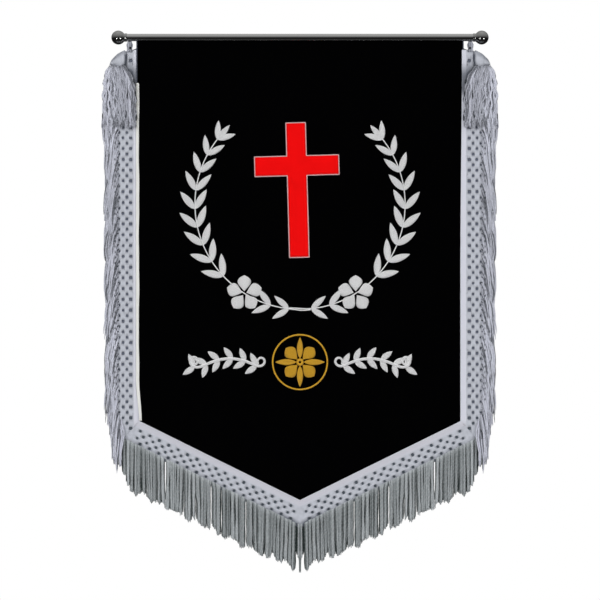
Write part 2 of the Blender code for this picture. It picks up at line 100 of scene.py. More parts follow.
class Nodes:
    """A node tree that is built one call at a time."""

    def __init__(self, tree):
        self.tree = tree
        tree.nodes.clear()

    def node(self, kind, settings=None, inputs=None, out=0):
        """One node: its settings first, then the values or links of its sockets; gives one output."""
        made = self.tree.nodes.new(kind)
        for name, value in (settings or {}).items():
            if name == "stops":
                while len(made.color_ramp.elements) < len(value):
                    made.color_ramp.elements.new(1.0)
                for stop, (place, colour) in zip(made.color_ramp.elements, value):
                    stop.position, stop.color = place, colour
            else:
                setattr(made, name, value)
        for name, value in (inputs or {}).items():
            if isinstance(value, Wire):
                self.tree.links.new(value.socket, made.inputs[name])
            else:
                made.inputs[name].default_value = value
        return Wire(self, made.outputs[out]) if len(made.outputs) else None

    def mix(self, share, first, second):
        """Two colours mixed by a share from 0 to 1."""
        return self.node("ShaderNodeMix", {"data_type": "RGBA"}, {0: share, 6: first, 7: second}, out=2)

    def noise(self, scale, vector, detail=3.0, stretch=(1, 1, 1)):
        """Noise from 0 to 1 on a place that is stretched along its axes."""
        place = self.node("ShaderNodeVectorMath", {"operation": "MULTIPLY"}, {0: vector, 1: stretch})
        return self.node("ShaderNodeTexNoise", {}, {"Vector": place, "Scale": scale, "Detail": detail})

    def place(self):
        """The Object coordinates, in metres."""
        return self.node("ShaderNodeTexCoord", out="Object")

    def parts_of(self, vector):
        """The three numbers of a vector."""
        split = self.node("ShaderNodeSeparateXYZ", {}, {0: vector})
        return [Wire(self, socket) for socket in split.socket.node.outputs]

    def uv(self):
        """The two numbers of the piece's UV."""
        return self.parts_of(self.node("ShaderNodeUVMap", {"uv_map": "UVMap"}))[:2]

    def tone(self):
        """The tone that the piece's points carry."""
        return self.node("ShaderNodeAttribute", {"attribute_name": "tone"}, out="Fac")

    def bump(self, height, distance, strength=1.0):
        """A normal that follows a height from 0 to 1, which stands for this distance in metres."""
        inputs = {"Height": height, "Distance": distance, "Strength": strength}
        return self.node("ShaderNodeBump", {}, inputs)


def finish(name, uniform):
    """A new material: its nodes, and a call that makes its Principled surface from links and values."""
    material = bpy.data.materials.new(name)
    material.use_nodes = True
    nodes = Nodes(material.node_tree)

    def surface(**linked):
        inputs = dict(uniform)
        inputs.update({key.replace("_", " "): value for key, value in linked.items()})
        shader = nodes.node("ShaderNodeBsdfPrincipled", {}, inputs)
        nodes.node("ShaderNodeOutputMaterial", {}, {"Surface": shader})
        return material

    return nodes, surface


def fabric(name, roughness, specular, sheen, sheen_roughness):
    """A finish of threads, with a soft sheen."""
    return finish(name, {
        "Roughness": roughness, "Specular IOR Level": specular,
        "Sheen Weight": sheen, "Sheen Roughness": sheen_roughness,
    })


def grid_quads(rows, columns, round_rows=False, round_columns=False):
    """Corner numbers of a grid's quads: row i, column j is point i * columns + j, and a round way closes."""
    i = np.arange(rows if round_rows else rows - 1)[:, None]
    j = np.arange(columns if round_columns else columns - 1)[None, :]
    i_next, j_next = (i + 1) % rows, (j + 1) % columns
    corners = (i * columns + j, i_next * columns + j, i_next * columns + j_next, i * columns + j_next)
    return np.stack(np.broadcast_arrays(*corners), axis=-1).reshape(-1, 4)


def repeated(faces, count, points_each):
    """The same faces on each of a number of like sets of points."""
    offsets = np.arange(count) * points_each
    return (faces[None] + offsets[:, None, None]).reshape(-1, faces.shape[1])


def make_piece(name, points, faces, material, slot, uv=None, tone=None):
    """A smooth mesh at the origin, with a UV pair for each face corner and a tone for each point."""
    mesh = bpy.data.meshes.new(name)
    mesh.from_pydata(np.asarray(points, float).reshape(-1, 3).tolist(), [], [list(f) for f in faces])
    if uv is not None:
        mesh.uv_layers.new(name="UVMap").data.foreach_set("uv", np.asarray(uv, float).ravel())
    if tone is not None:
        values = np.asarray(tone, float).ravel()
        mesh.attributes.new("tone", "FLOAT", "POINT").data.foreach_set("value", values)
    mesh.shade_smooth()
    mesh.materials.append(material)
    piece = bpy.data.objects.new(name, mesh)
    bpy.context.collection.objects.link(piece)
    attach(piece, "root")
    return piece


def thicken(piece, thickness, offset=0):
    """Gives a sheet its thickness: half on each side at offset 0, all of it behind at offset -1."""
    wall = piece.modifiers.new("thickness", "SOLIDIFY")
    wall.thickness, wall.offset = thickness, offset


def chrome(name, colour):
    nodes, surface = finish(name, {"Base Color": colour, "Metallic": 1.0})
    place = nodes.place()
    smudge = nodes.noise(SMUDGE_SCALE, place, stretch=(0.4, 1, 1))
    lines = nodes.noise(DRAW_LINE_SCALE, place, stretch=(0.01, 1, 1))
    roughness = CHROME_ROUGHNESS + smudge * CHROME_ROUGHNESS
    return surface(Roughness=roughness, Normal=nodes.bump(lines, 0.00001, 0.25))


# Each wall is an arc that leaves the slot open: y = radius cos a, z = axis + radius sin a
walls = []
for radius in (ROD_RADIUS, ROD_RADIUS - ROD_WALL):
    half_slot = math.asin(SLOT_WIDTH / 2 / radius)
    arc = -math.pi / 2 + half_slot + (math.tau - 2 * half_slot) * np.linspace(0, 1, ARC_STEPS)
    walls.append(np.stack([radius * np.cos(arc), ROD_AXIS + radius * np.sin(arc)], axis=-1))
section = np.concatenate([walls[0], walls[1][::-1]])
tube = np.empty((TUBE_STATIONS, len(section), 3))
tube[..., 0] = np.linspace(ROD_LOW[0], ROD_HIGH[0], TUBE_STATIONS)[:, None]
tube[..., 1:] = section
corner = np.arange(ARC_STEPS - 1)
end_ring = np.stack([corner, corner + 1, len(section) - 2 - corner, len(section) - 1 - corner], axis=-1)
tube_faces = np.concatenate([
    grid_quads(TUBE_STATIONS, len(section), round_columns=True)[:, ::-1],
    end_ring[:, ::-1],
    end_ring + (TUBE_STATIONS - 1) * len(section),
])
tube_piece = make_piece("slotted_tube", tube, tube_faces, chrome("drawn_chrome", CHROME_COLOUR), "chrome")
tube_piece.data.set_sharp_from_angle(angle=math.radians(40))
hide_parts("rod")

# The finials: turned brass balls, chrome plated. Each has a grooved collar that is pressed over the end of
# the tube.

BALL_RADIUS = 0.013
BALL_CENTRE = 0.339
# The ball's arc in radians, from its outer end to where it runs into the collar
BALL_ARC = (0.02, math.pi - 0.72)
BALL_STEPS, TURN_STEPS = 40, 56
COLLAR_RADIUS = 0.0078
COLLAR_START = 0.3228
COLLAR_BORE = 0.0073
COLLAR_BORE_END = 0.3313
FINIAL_COLOUR = (0.44, 0.44, 0.43, 1)
# The collar's turned profile after the ball: place along the rod, radius
COLLAR_PROFILE = (
    (0.3286, 0.0082), (0.3281, 0.0077), (0.3274, 0.0074), (0.3267, 0.0075), (0.3262, COLLAR_RADIUS),
    (0.3240, 0.0076), (0.3232, 0.0077), (COLLAR_START, 0.0075), (COLLAR_START, COLLAR_BORE),
    (COLLAR_BORE_END, COLLAR_BORE),
)

arc = np.linspace(*BALL_ARC, BALL_STEPS)
ball = np.stack([BALL_CENTRE + BALL_RADIUS * np.cos(arc), BALL_RADIUS * np.sin(arc)], axis=-1)
profile = np.concatenate([ball, COLLAR_PROFILE])
finial_finish = chrome("cast_chrome", FINIAL_COLOUR)
ring = np.arange(TURN_STEPS)
turn = ring / TURN_STEPS * math.tau
for side, name in SIDES:
    turned = np.empty((len(profile), TURN_STEPS, 3))
    turned[..., 0] = side * profile[:, :1]
    turned[..., 1] = profile[:, 1:] * np.cos(turn)
    turned[..., 2] = ROD_AXIS + profile[:, 1:] * np.sin(turn)
    body = grid_quads(len(profile), TURN_STEPS, round_columns=True)
    faces = [f[::-side] for f in [*body, ring, ring[::-1] + (len(profile) - 1) * TURN_STEPS]]
    finial = make_piece("turned_finial_" + name, turned, faces, finial_finish, "chrome")
    finial.data.set_sharp_from_angle(angle=math.radians(50))
    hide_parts("finial_" + name)

# The banner's cloth: black cotton velvet in one piece with a pointed foot. Its top hem is folded round a
# bead cord that runs in the rod's slot, and its side and foot allowances lie behind the netted tape.

PANEL_HALF = 0.299
SIDE_DROP = 0.7225
POINT_DROP = 0.870
POINT_SLOPE = (POINT_DROP - SIDE_DROP) / PANEL_HALF
POINT_ANGLE = math.atan(POINT_SLOPE)
SEAM_ALLOWANCE = 0.044
CLOTH_THICKNESS = 0.0016
CLOTH_TOP_HALF = 0.3055
CLOTH_HALF = PANEL_HALF + SEAM_ALLOWANCE
CLOTH_FOOT = POINT_DROP + SEAM_ALLOWANCE / math.cos(POINT_ANGLE)
CLOTH_COLUMNS, CLOTH_ROWS, HEM_STEPS = 97, 88, 18
# The cloth's top corner widens in two steps: by how much, from what drop to what drop
CORNER_STEPS = ((0.0205, 0.029, 0.035), (0.0170, 0.054, 0.068))
HEM_RADIUS = 0.0026
HEM_CENTRE = -0.0096
# How far the hem is wrapped round its bead, in radians from straight below: where it starts, where it ends
HEM_WRAP = (5.0, 0.35)
FOLD_DEPTH = 0.0022
FOLD_PITCH = 0.44
FOLD_START = 0.7
VELVET_COLOUR = (0.0002, 0.0002, 0.0003, 1)
VELVET_WORN = (0.0006, 0.0006, 0.0008, 1)
# The allowances' fronts are painted blue-grey: painted light that shows through the netted tape's gaps
SIDE_ALLOWANCE_PAINTED_LIGHT = (0.14, 0.155, 0.20, 1)
FOOT_ALLOWANCE_PAINTED_LIGHT = (0.095, 0.115, 0.135, 1)
# The height at which the sides' colours give way to the foot's
CORNER_HEIGHT = -0.73


def drape(x, z):
    """How far back the cloth hangs: soft upright folds, a sine of x, that deepen towards the foot."""
    return FOLD_DEPTH * (-z / POINT_DROP) * np.sin(math.tau * x / FOLD_PITCH + FOLD_START)


def eased(value, low, high):
    """A smooth step from 0 at low to 1 at high."""
    share = np.clip((value - low) / (high - low), 0, 1)
    return share * share * (3 - 2 * share)


def velvet():
    """Black pile; the front of the allowances, outside the panel and in front of the folds, carries painted
    light.
    """
    nodes, surface = fabric("black_velvet", 0.95, 0.02, 0.004, 0.5)
    place = nodes.place()
    x, y, z = nodes.parts_of(place)
    aside = x.magnitude()
    outside = (aside - PANEL_HALF).larger(POINT_SLOPE * aside - z - POINT_DROP)
    fold = (z * (-FOLD_DEPTH / POINT_DROP)) * (x * (math.tau / FOLD_PITCH) + FOLD_START).sine()
    # Painted light on the front of the allowances, beyond the panel's edge
    painted_light_share = ((outside - 0.004) * 400).clipped() * ((fold - y) * 2500).clipped()
    beside = ((z - CORNER_HEIGHT) * 20).clipped()
    allowance_light = nodes.mix(beside, FOOT_ALLOWANCE_PAINTED_LIGHT, SIDE_ALLOWANCE_PAINTED_LIGHT)
    pile = nodes.noise(1500, place, detail=2.0)
    brushed = nodes.noise(9, place, detail=4.0, stretch=(1, 1, 0.5))
    return surface(
        Base_Color=nodes.mix(painted_light_share, nodes.mix(brushed, VELVET_COLOUR, VELVET_WORN), allowance_light),
        Normal=nodes.bump(pile, 0.0004, 0.6),
    )


across = np.linspace(-1, 1, CLOTH_COLUMNS)
down = np.linspace(0, 1, CLOTH_ROWS)[:, None] ** 1.15
foot_edge = -CLOTH_FOOT + POINT_SLOPE * CLOTH_HALF * np.abs(across)
neck = HEM_CENTRE - HEM_RADIUS
cloth_z = neck + (foot_edge - neck) * down
half = CLOTH_TOP_HALF + sum(wider * eased(-cloth_z, low, high) for wider, low, high in CORNER_STEPS)
cloth_x = across * half
cloth = np.stack([cloth_x, drape(cloth_x, cloth_z), cloth_z], axis=-1)
turn = np.linspace(*HEM_WRAP, HEM_STEPS)[:, None] - math.pi / 2
hem = np.empty((HEM_STEPS, CLOTH_COLUMNS, 3))
hem[..., 0] = CLOTH_TOP_HALF * across
hem[..., 1] = HEM_RADIUS * np.cos(turn)
hem[..., 2] = HEM_CENTRE + HEM_RADIUS * np.sin(turn)
velvet_piece = make_piece(
    "velvet_cloth", np.concatenate([hem, cloth]), grid_quads(HEM_STEPS + CLOTH_ROWS, CLOTH_COLUMNS),
    velvet(), "velvet",
)
thicken(velvet_piece, CLOTH_THICKNESS)
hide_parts("banner_cloth")

# The netted tape: a white rayon heading, 47 mm wide, with a plain selvage and four rows of gaps that its
# knotted threads leave open. It is sewn down both sides, and in one length round the pointed foot.

HEADING_WIDTH = 0.047
HEADING_TOP = -0.030
OUTER_HALF = PANEL_HALF + HEADING_WIDTH
OUTER_POINT_DROP = POINT_DROP + HEADING_WIDTH / math.cos(POINT_ANGLE)
OUTER_SIDE_DROP = OUTER_POINT_DROP - POINT_SLOPE * OUTER_HALF
HEADING_MIDDLE = 0.0018
NET_THICKNESS = 0.0010
GAP_PITCH = 0.0203
GAP_ROW_STEP = 0.0072
FIRST_GAP_ROW = 0.0166
GAP_ROWS = 4
GAP_HALF_WIDE, GAP_HALF_LONG = 0.0030, 0.0025
# Points on a cell's border, along the tape and across it
PERIMETER = (8, 3)
KNOT_HEIGHT = 0.0010
# A gap that is drawn shut: its size, and the height in front and tone of its whole cell
SHUT_SIZE, SHUT_CELL = 0.03, (KNOT_HEIGHT, 0.97)
# A cell's tone falls towards its gap: painted shade at the gap's rim
# The rings of one net cell from its border to the gap: share of the way in, height in front, tone
CELL_RINGS = ((0.0, KNOT_HEIGHT, 1.0), (0.40, 0.0009, 0.97), (0.78, 0.0004, 0.80), (1.0, -0.0002, 0.50))
TAPE_CORNER = ((0.3460, -0.0740), (0.3425, -0.0560), (0.3345, -0.0400), (0.3225, -0.0310))
# The lower corner's seam, as a run out from the panel and a run down: the side tape laps past the mitre
CORNER_SEAM = (0.034, 0.0356)
# The sheets' real area is less than their flat size, by their gaps
NET_COLOUR = (0.525, 0.545, 0.605, 1)
NET_SHADE = (0.09, 0.10, 0.125, 1)
SELVAGE_COLOUR = (0.56, 0.56, 0.62, 1)
SIDE_SELVAGE_COLOUR = (0.66, 0.67, 0.745, 1)


def net_cells(rows, columns, closed, first_wide, last_size):
    """Net cells in a brick bond. Each is a ring of border points that runs in steps to an oval gap.

    Along the tape the cell's border is a rectangle of pitch by row step, and a point of ring k lies at
    border + share * (oval - border), where the oval has the same angle round the cell's middle. The cells
    for which closed(row, distance along) is true have their gaps drawn shut. The first row's gaps are
    wider by first_wide, and the last row's are scaled by last_size.
    """
    long_side, wide_side = (np.linspace(-0.5, 0.5, steps + 1)[:-1] for steps in PERIMETER)
    low = np.stack([long_side, 0 * long_side - 0.5], axis=-1)
    ahead = np.stack([0 * wide_side + 0.5, wide_side], axis=-1)
    border = np.concatenate([low, ahead, -low, -ahead])
    angle = np.arctan2(border[:, 1], border[:, 0])
    border = border * (GAP_PITCH, GAP_ROW_STEP)
    row = np.repeat(np.arange(rows), columns)
    along = (np.tile(np.arange(columns), rows) + (row % 2) / 2) * GAP_PITCH
    first, last, shut = row[:, None] == 0, row[:, None] == rows - 1, closed(row, along)
    chance = np.random.default_rng(17)
    size = chance.uniform(0.86, 1.12, (len(row), 1)) * np.where(first, 1.12, 1) * np.where(last, last_size, 1)
    size = np.where(shut[:, None], SHUT_SIZE, size)[..., None]
    shift = chance.normal(0, 0.00025, (len(row), 1, 2))
    angle = angle + chance.uniform(-0.35, 0.35, (len(row), 1))
    half_wide = GAP_HALF_WIDE * np.where(first, first_wide, 1)
    oval = size * np.stack([GAP_HALF_LONG * np.cos(angle), half_wide * np.sin(angle)], axis=-1) + shift
    rings = np.array(CELL_RINGS)[:, None]
    middle = np.stack([along, FIRST_GAP_ROW + row * GAP_ROW_STEP], axis=-1)
    points = np.empty((len(row), len(rings), len(border), 4))
    points[..., :2] = border + rings[..., :1] * (oval[:, None] - border) + middle[:, None, None]
    points[..., 2:] = rings[..., 1:]
    points[shut, :, :, 2:] = SHUT_CELL
    cell = grid_quads(len(rings), len(border), round_columns=True)
    return points.reshape(-1, 4), repeated(cell, len(row), len(rings) * len(border))


def plain_band(net_edge, plain_edge, steps, start, count):
    """A plain stretch of the tape from the net's knots down to its edge, on the cells' own stations."""
    width = np.linspace(net_edge, plain_edge, steps + 1)[:, None]
    points = np.ones((steps + 1, count, 4))
    points[..., 0] = start + np.arange(count) * GAP_PITCH / PERIMETER[0]
    points[..., 1] = width
    points[..., 2] = KNOT_HEIGHT * (1 - eased(np.arange(steps + 1), 0, 1.5))[:, None]
    # Painted shade: the tone falls towards the tape's outer edge, between the fringe's bundles
    points[..., 3] = 1 - 0.75 * eased(width, HEADING_WIDTH - 0.007, HEADING_WIDTH - 0.004)
    faces = grid_quads(steps + 1, count)
    return points.reshape(-1, 4), faces if plain_edge > net_edge else faces[:, ::-1]


def tape(columns, closed, first_wide=1.0, last_size=1.0):
    """A flat length of the tape: distance along it, distance from its inner edge, height in front, tone."""
    net_low = FIRST_GAP_ROW - GAP_ROW_STEP / 2
    net_high = net_low + GAP_ROWS * GAP_ROW_STEP
    count = columns * PERIMETER[0] + 1
    bands = [
        plain_band(net_low, 0, 6, -GAP_PITCH / 2, count),
        net_cells(GAP_ROWS, columns, closed, first_wide, last_size),
        plain_band(net_high, HEADING_WIDTH, 4, 0, count),
    ]
    firsts = np.cumsum([0] + [len(points) for points, _ in bands])
    faces = [band_faces + first for (_, band_faces), first in zip(bands, firsts)]
    return np.concatenate([points for points, _ in bands]), np.concatenate(faces)


def netted():
    """White rayon net with its ribs and knots; its selvage is lighter beside the panel than at the foot."""
    nodes, surface = fabric("netted_rayon", 0.62, 0.35, 0.15, 0.4)
    along, across = nodes.uv()
    ribs = (along * (math.tau / 0.0011)).sine() * 0.25 + (across * (math.tau / 0.0016)).sine() * 0.2 + 0.5
    place = nodes.place()
    fuzz = nodes.noise(700, place)
    soil = nodes.noise(150, place)
    tone = nodes.tone()
    beside = ((nodes.parts_of(place)[2] - CORNER_HEIGHT) * 100).clipped()
    selvage_colour = nodes.mix(beside, SELVAGE_COLOUR, SIDE_SELVAGE_COLOUR)
    selvage = ((0.0112 - across) * 900).clipped()
    # The points' tone carries painted shade, and the soil noise darkens the net at random
    ground = nodes.mix((tone * 1.25 - soil * 0.5).clipped(), NET_SHADE, NET_COLOUR)
    return surface(
        Base_Color=nodes.mix(selvage, ground, nodes.mix(tone.clipped(), NET_SHADE, selvage_colour)),
        Normal=nodes.bump(ribs * 0.7 + fuzz * 0.5, 0.00035, 0.7),
    )


def cut_below(mesh, place, outward):
    """Trims away what lies beyond a plane that stands on the banner's face."""
    build = bmesh.new()
    build.from_mesh(mesh)
    bmesh.ops.remove_doubles(build, verts=build.verts, dist=0.00002)
    bmesh.ops.bisect_plane(
        build, geom=build.verts[:] + build.edges[:] + build.faces[:], dist=0.00001,
        plane_co=place, plane_no=outward, clear_outer=True,
    )
    build.to_mesh(mesh)
    build.free()


def heading_piece(name, x, z, flat, faces, cuts):
    """A tape laid on the draped cloth, trimmed by its planes, then given its thickness.

    Its UV is the distance along it and across it.
    """
    points = np.stack([x, drape(x, z) - HEADING_MIDDLE - flat[:, 2], z], axis=-1)
    uv = flat[faces.ravel(), :2]
    piece = make_piece(name, points, faces, netted_finish, "heading", uv=uv, tone=flat[:, 3])
    for place, outward in cuts:
        cut_below(piece.data, place, outward)
    thicken(piece, NET_THICKNESS)
    return piece


netted_finish = netted()

SIDE_STRETCH, TOP_STRETCH = 0.989, 1.016
FIRST_GAP_DROP = 0.1946
# The drop of the last gap in each row, and the two stretches near the top that have none
LAST_GAP_DROPS = np.array([0.7400, 0.7300, 0.7220, 0.7160])
PLAIN_STRETCHES = ((0.0, 0.0460), (0.0600, 0.1180))
SIDE_FIRST_WIDE, SIDE_LAST_SIZE = 1.28, 0.75
# How far the tape's inner edge is drawn out from the panel's line, by side: at its top, and in its middle
INNER_EDGE = {-1: (0.0065, 0.0065), 1: (0.0028, 0.0)}
INNER_EDGE_WIDTH = 0.0139
top_station = math.floor((FIRST_GAP_DROP + HEADING_TOP) / GAP_PITCH + 1) * GAP_PITCH


def side_drop(along):
    """The drop of a place along the side tape, whose gaps are drawn a little closer from the first on."""
    run = along - top_station
    return FIRST_GAP_DROP + run * np.where(run > 0, SIDE_STRETCH, TOP_STRETCH)


def side_gap_closed(row, along):
    drop = side_drop(along)
    plain = (drop > LAST_GAP_DROPS[row]) | (drop < PLAIN_STRETCHES[0][1])
    return plain | ((drop > PLAIN_STRETCHES[1][0]) & (drop < PLAIN_STRETCHES[1][1]))


side_columns = math.ceil((OUTER_SIDE_DROP + HEADING_TOP) / (GAP_PITCH * SIDE_STRETCH)) + 2
flat, faces = tape(side_columns, side_gap_closed, SIDE_FIRST_WIDE, SIDE_LAST_SIZE)
drop = side_drop(flat[:, 0])
# The tape lies in the shade of the shoulder's flap, and of its first yarns
flat[:, 3] -= 0.82 * eased(drop, 0.047, 0.079) * (1 - eased(drop, 0.104, 0.122))
flat[:, 3] -= 0.55 * eased(flat[:, 1], 0.0225, 0.0262) * (1 - eased(drop, 0.080, 0.090))
for side, name in SIDES:
    top_edge, middle_edge = INNER_EDGE[side]
    drawn = (top_edge + (middle_edge - top_edge) * eased(drop, 0.05, 0.45)) * (1 - eased(drop, 0.66, 0.70))
    x = side * (PANEL_HALF + flat[:, 1] + drawn * (1 - eased(flat[:, 1], 0, INNER_EDGE_WIDTH)))
    cuts = [
        ((0, 0, HEADING_TOP), (0, 0, 1)),
        ((side * PANEL_HALF, 0, -SIDE_DROP), (-side * CORNER_SEAM[1], 0, -CORNER_SEAM[0])),
        ((0, 0, -OUTER_POINT_DROP), (side * POINT_SLOPE, 0, -1)),
    ]
    for (x0, z0), (x1, z1) in zip(TAPE_CORNER, TAPE_CORNER[1:]):
        cuts.append(((side * x0, 0, z0), (side * (z1 - z0), 0, x0 - x1)))
    piece = heading_piece("netted_tape_" + name, x, -drop, flat, faces[:, ::-side], cuts)
    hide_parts("heading_" + name)

FOOT_STRETCH = 0.9635
FOOT_START = 2.46 * GAP_PITCH
FOOT_GAPS_FROM, FOOT_GAPS_TO = 0.0065, 0.3085


def foot_gap_closed(row, along):
    across = FIRST_GAP_ROW + row * GAP_ROW_STEP
    run = (along - FOOT_START) * FOOT_STRETCH
    aside = run * math.cos(POINT_ANGLE) + across * math.sin(POINT_ANGLE)
    return (aside < FOOT_GAPS_FROM) | (aside > FOOT_GAPS_TO)


slope_length = OUTER_HALF / math.cos(POINT_ANGLE)
foot_columns = math.ceil((slope_length + HEADING_WIDTH) / GAP_PITCH) + 3
flat, faces = tape(foot_columns, foot_gap_closed)
# Painted shade along the foot tape's outer edge among the fringe's roots, deepest near the point
near_point = np.exp(-(((flat[:, 0] - FOOT_START) / 0.03) ** 2))
flat[:, 3] -= (0.25 + 0.35 * near_point) * eased(flat[:, 1], 0.033, 0.041)
run = (flat[:, 0] - FOOT_START) * FOOT_STRETCH
aside = run * math.cos(POINT_ANGLE) + flat[:, 1] * math.sin(POINT_ANGLE)
z = -POINT_DROP - flat[:, 1] * math.cos(POINT_ANGLE) + run * math.sin(POINT_ANGLE)
halves = []
for side, name in SIDES:
    seam = ((side * PANEL_HALF, 0, -SIDE_DROP), (side * CORNER_SEAM[1], 0, CORNER_SEAM[0]))
    cuts = [((0, 0, 0), (-side, 0, 0)), seam]
    halves.append(heading_piece("netted_tape_foot_" + name, side * aside, z, flat, faces[:, ::side], cuts))

build = bmesh.new()
for half_piece in halves:
    build.from_mesh(half_piece.data)
bmesh.ops.remove_doubles(build, verts=build.verts, dist=0.0006)
foot_piece = halves[0]
build.to_mesh(foot_piece.data)
build.free()
bpy.data.objects.remove(halves[1])
foot_piece.name = "netted_tape_foot"
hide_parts("heading_foot")

# The cream strip: a narrow woven tape, sewn over the inner edge of the left-hand netted tape only. It
# hangs a little loose near its foot.

STRIP_WIDTH = 0.0058
STRIP_INSET = 0.0012
STRIP_TOP, STRIP_FOOT = -0.092, -0.7215
STRIP_FRONT = 0.0032
STRIP_THICKNESS = 0.0007
STRIP_LOOSE = 0.0048
STRIP_ROWS, STRIP_COLUMNS = 110, 7
STRIP_COLOUR = (0.87, 0.875, 0.845, 1)
STRIP_SHADE = (0.66, 0.665, 0.63, 1)


def woven_strip():
    nodes, surface = fabric("cream_woven", 0.7, 0.25, 0.2, 0.5)
    place = nodes.place()
    x, _, z = nodes.parts_of(place)
    weft, warp = z.ridges(0.0009), x.ridges(0.0012)
    slub = nodes.noise(140, place, stretch=(1, 1, 0.3))
    return surface(
        Base_Color=nodes.mix(slub * 0.5 + weft * 0.2, STRIP_COLOUR, STRIP_SHADE),
        Normal=nodes.bump(weft * 0.6 + warp * 0.4, 0.0003, 0.6),
    )


z = np.linspace(STRIP_TOP, STRIP_FOOT, STRIP_ROWS)[:, None]
share = np.linspace(0, 1, STRIP_COLUMNS)[None, :]
loose = STRIP_LOOSE * eased(-z, 0.62, -STRIP_FOOT) ** 2
waver = 0.0004 * np.sin(z * 37) + 0.0002 * np.sin(z * 91 + 1)
x = -PANEL_HALF - STRIP_INSET - STRIP_WIDTH * (1 - share) + waver * share + loose * (1.25 - 0.05 * share)
y = drape(x, z) - STRIP_FRONT - 0.0005 * np.sin(math.pi * share) - 0.4 * loose
strip_piece = make_piece(
    "cream_edge_strip", np.stack([x, y, z + 0 * x], axis=-1), grid_quads(STRIP_ROWS, STRIP_COLUMNS),
    woven_strip(), "edge_strip",
)
thicken(strip_piece, STRIP_THICKNESS)
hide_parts("edge_strip")

# The side fringe: soft white rayon yarn, cut at 87 mm and knotted in bundles through the outer edge of the
# netted tape. The yarns lean out of the tape, then hang, and close over those below.

YARN_SIDES = 6
SIDE_LOCK_PITCH = GAP_PITCH / 2
SIDE_FRINGE_TOP = -0.0786
SIDE_YARNS, SIDE_BACK_YARNS = 7, 2
SIDE_STEPS = 17
SIDE_ROOT = -0.0078
SIDE_REACH = 0.0216
SIDE_REACH_LESS = 0.0042
FRINGE_LENGTH = 0.087
# How far below the tape's outer corner the tips hang
CORNER_TIPS = 0.0622
# The lowest locks gather over the tape's corner. From the lowest up: how far in they hang, and the height
# of their tips
CORNER_LOCKS = (
    (0.0060, -0.8139), (0.0125, -0.8060), (0.0150, -0.8010), (0.0030, -0.8005), (0.0, -0.7915),
)
REAR_TONE = 0.85
# Where the yarns leave the tape, from the middle, and half the width of the painted shade for the openings
# between their roots
ROOT_LINE, ROOT_HALF = 0.3441, 0.0021
# The heights between which this painted shade shows, and how far its beat is shifted
ROOT_LINE_TOP, ROOT_LINE_FOOT, ROOT_LINE_SHIFT = -0.17, -0.69, 2.43
YARN_RADIUS, SIDE_BACK_RADIUS = 0.00105, 0.0017
# The thinnest and the thickest yarn, as shares of the usual radius
RADIUS_SHARES = (0.85, 1.2)
SIDE_SEED = 30
# Each yarn colour is followed by the colour of the painted shade on its deep yarns
YARN_COLOUR = (0.64, 0.655, 0.745, 1)
YARN_PAINTED_SHADE = (0.020, 0.027, 0.034, 1)
FOOT_YARN_COLOUR = (0.475, 0.505, 0.525, 1)
FOOT_YARN_PAINTED_SHADE = (0.018, 0.034, 0.032, 1)


def turn_uv(rows, sides):
    """The UV of a round grid's quads: share of a turn, and the ring's number."""
    u, v = np.meshgrid(np.arange(sides) / sides, np.arange(rows))
    return np.stack([
        np.stack([u, v], -1), np.stack([u, v + 1], -1),
        np.stack([u + 1 / sides, v + 1], -1), np.stack([u + 1 / sides, v], -1),
    ], axis=2).reshape(-1, 2)


def yarns(paths, radii):
    """Round yarns: each ring is path + radius * (cos a * side + sin a * front), its ends closed.

    The side lies across the path and the depth of the banner, and the front across the path and the side.
    """
    along = np.gradient(paths, axis=1)
    along /= np.linalg.norm(along, axis=2, keepdims=True)
    side = np.cross(along, (0, 1, 0))
    side /= np.linalg.norm(side, axis=2, keepdims=True)
    front = np.cross(side, along)[:, :, None]
    angle = (np.arange(YARN_SIDES) / YARN_SIDES * math.tau)[:, None]
    ring = np.cos(angle) * side[:, :, None] + np.sin(angle) * front
    points = paths[:, :, None] + radii[:, :, None, None] * ring
    count, steps = radii.shape
    cap = np.arange(YARN_SIDES)[None]
    parts = (grid_quads(steps, YARN_SIDES, round_columns=True), cap, cap[:, ::-1] + (steps - 1) * YARN_SIDES)
    faces = [face for part in parts for face in repeated(part, count, steps * YARN_SIDES)]
    uv = np.tile(turn_uv(steps - 1, YARN_SIDES), (count, 1))
    return points, faces, np.concatenate([uv, np.zeros((2 * count * YARN_SIDES, 2))])


def yarn_finish(name, colour, deep, root_line=None):
    """Soft two-ply yarn: its twist in the bump, and a tone from painted shade on the deep yarns to the outer
    ones.

    Along a root line, which is a distance from the banner's middle, the yarns are painted with shade once for
    each lock, for the openings between their roots: 1 - (distance / half the openings' width) squared times a
    sine of the height, squared. That is kept to the straight stretch between the shoulder and the lower
    corner.
    """
    nodes, surface = fabric(name, 0.7, 0.25, 0.25, 0.5)
    tone = nodes.tone()
    turn, along = nodes.uv()
    ply = (turn * 2 + along * 0.9).ridges(1)
    place = nodes.place()
    fuzz = nodes.noise(900, place)
    if root_line:
        x, _, z = nodes.parts_of(place)
        aside = (x.magnitude() - root_line) / ROOT_HALF
        beat = (z * (math.tau / SIDE_LOCK_PITCH) + ROOT_LINE_SHIFT).sine() * 0.5 + 0.5
        uneven = (nodes.noise(55, place, detail=1.0) * 3 - 0.75).clipped()
        straight = ((ROOT_LINE_TOP - z) * 100).clipped() * ((z - ROOT_LINE_FOOT) * 100).clipped()
        tone = tone * (1 - (1 - aside * aside).clipped() * beat ** 2 * uneven * straight * 0.85)
    return surface(
        # The tone runs from painted shade to the yarn's colour, and the ply's groove is painted darker, as
        # shade
        Base_Color=nodes.mix((tone - (1 - ply) * 0.12).clipped(), deep, colour),
        Normal=nodes.bump(ply * 0.7 + fuzz * 0.4, 0.0005, 0.8),
    )


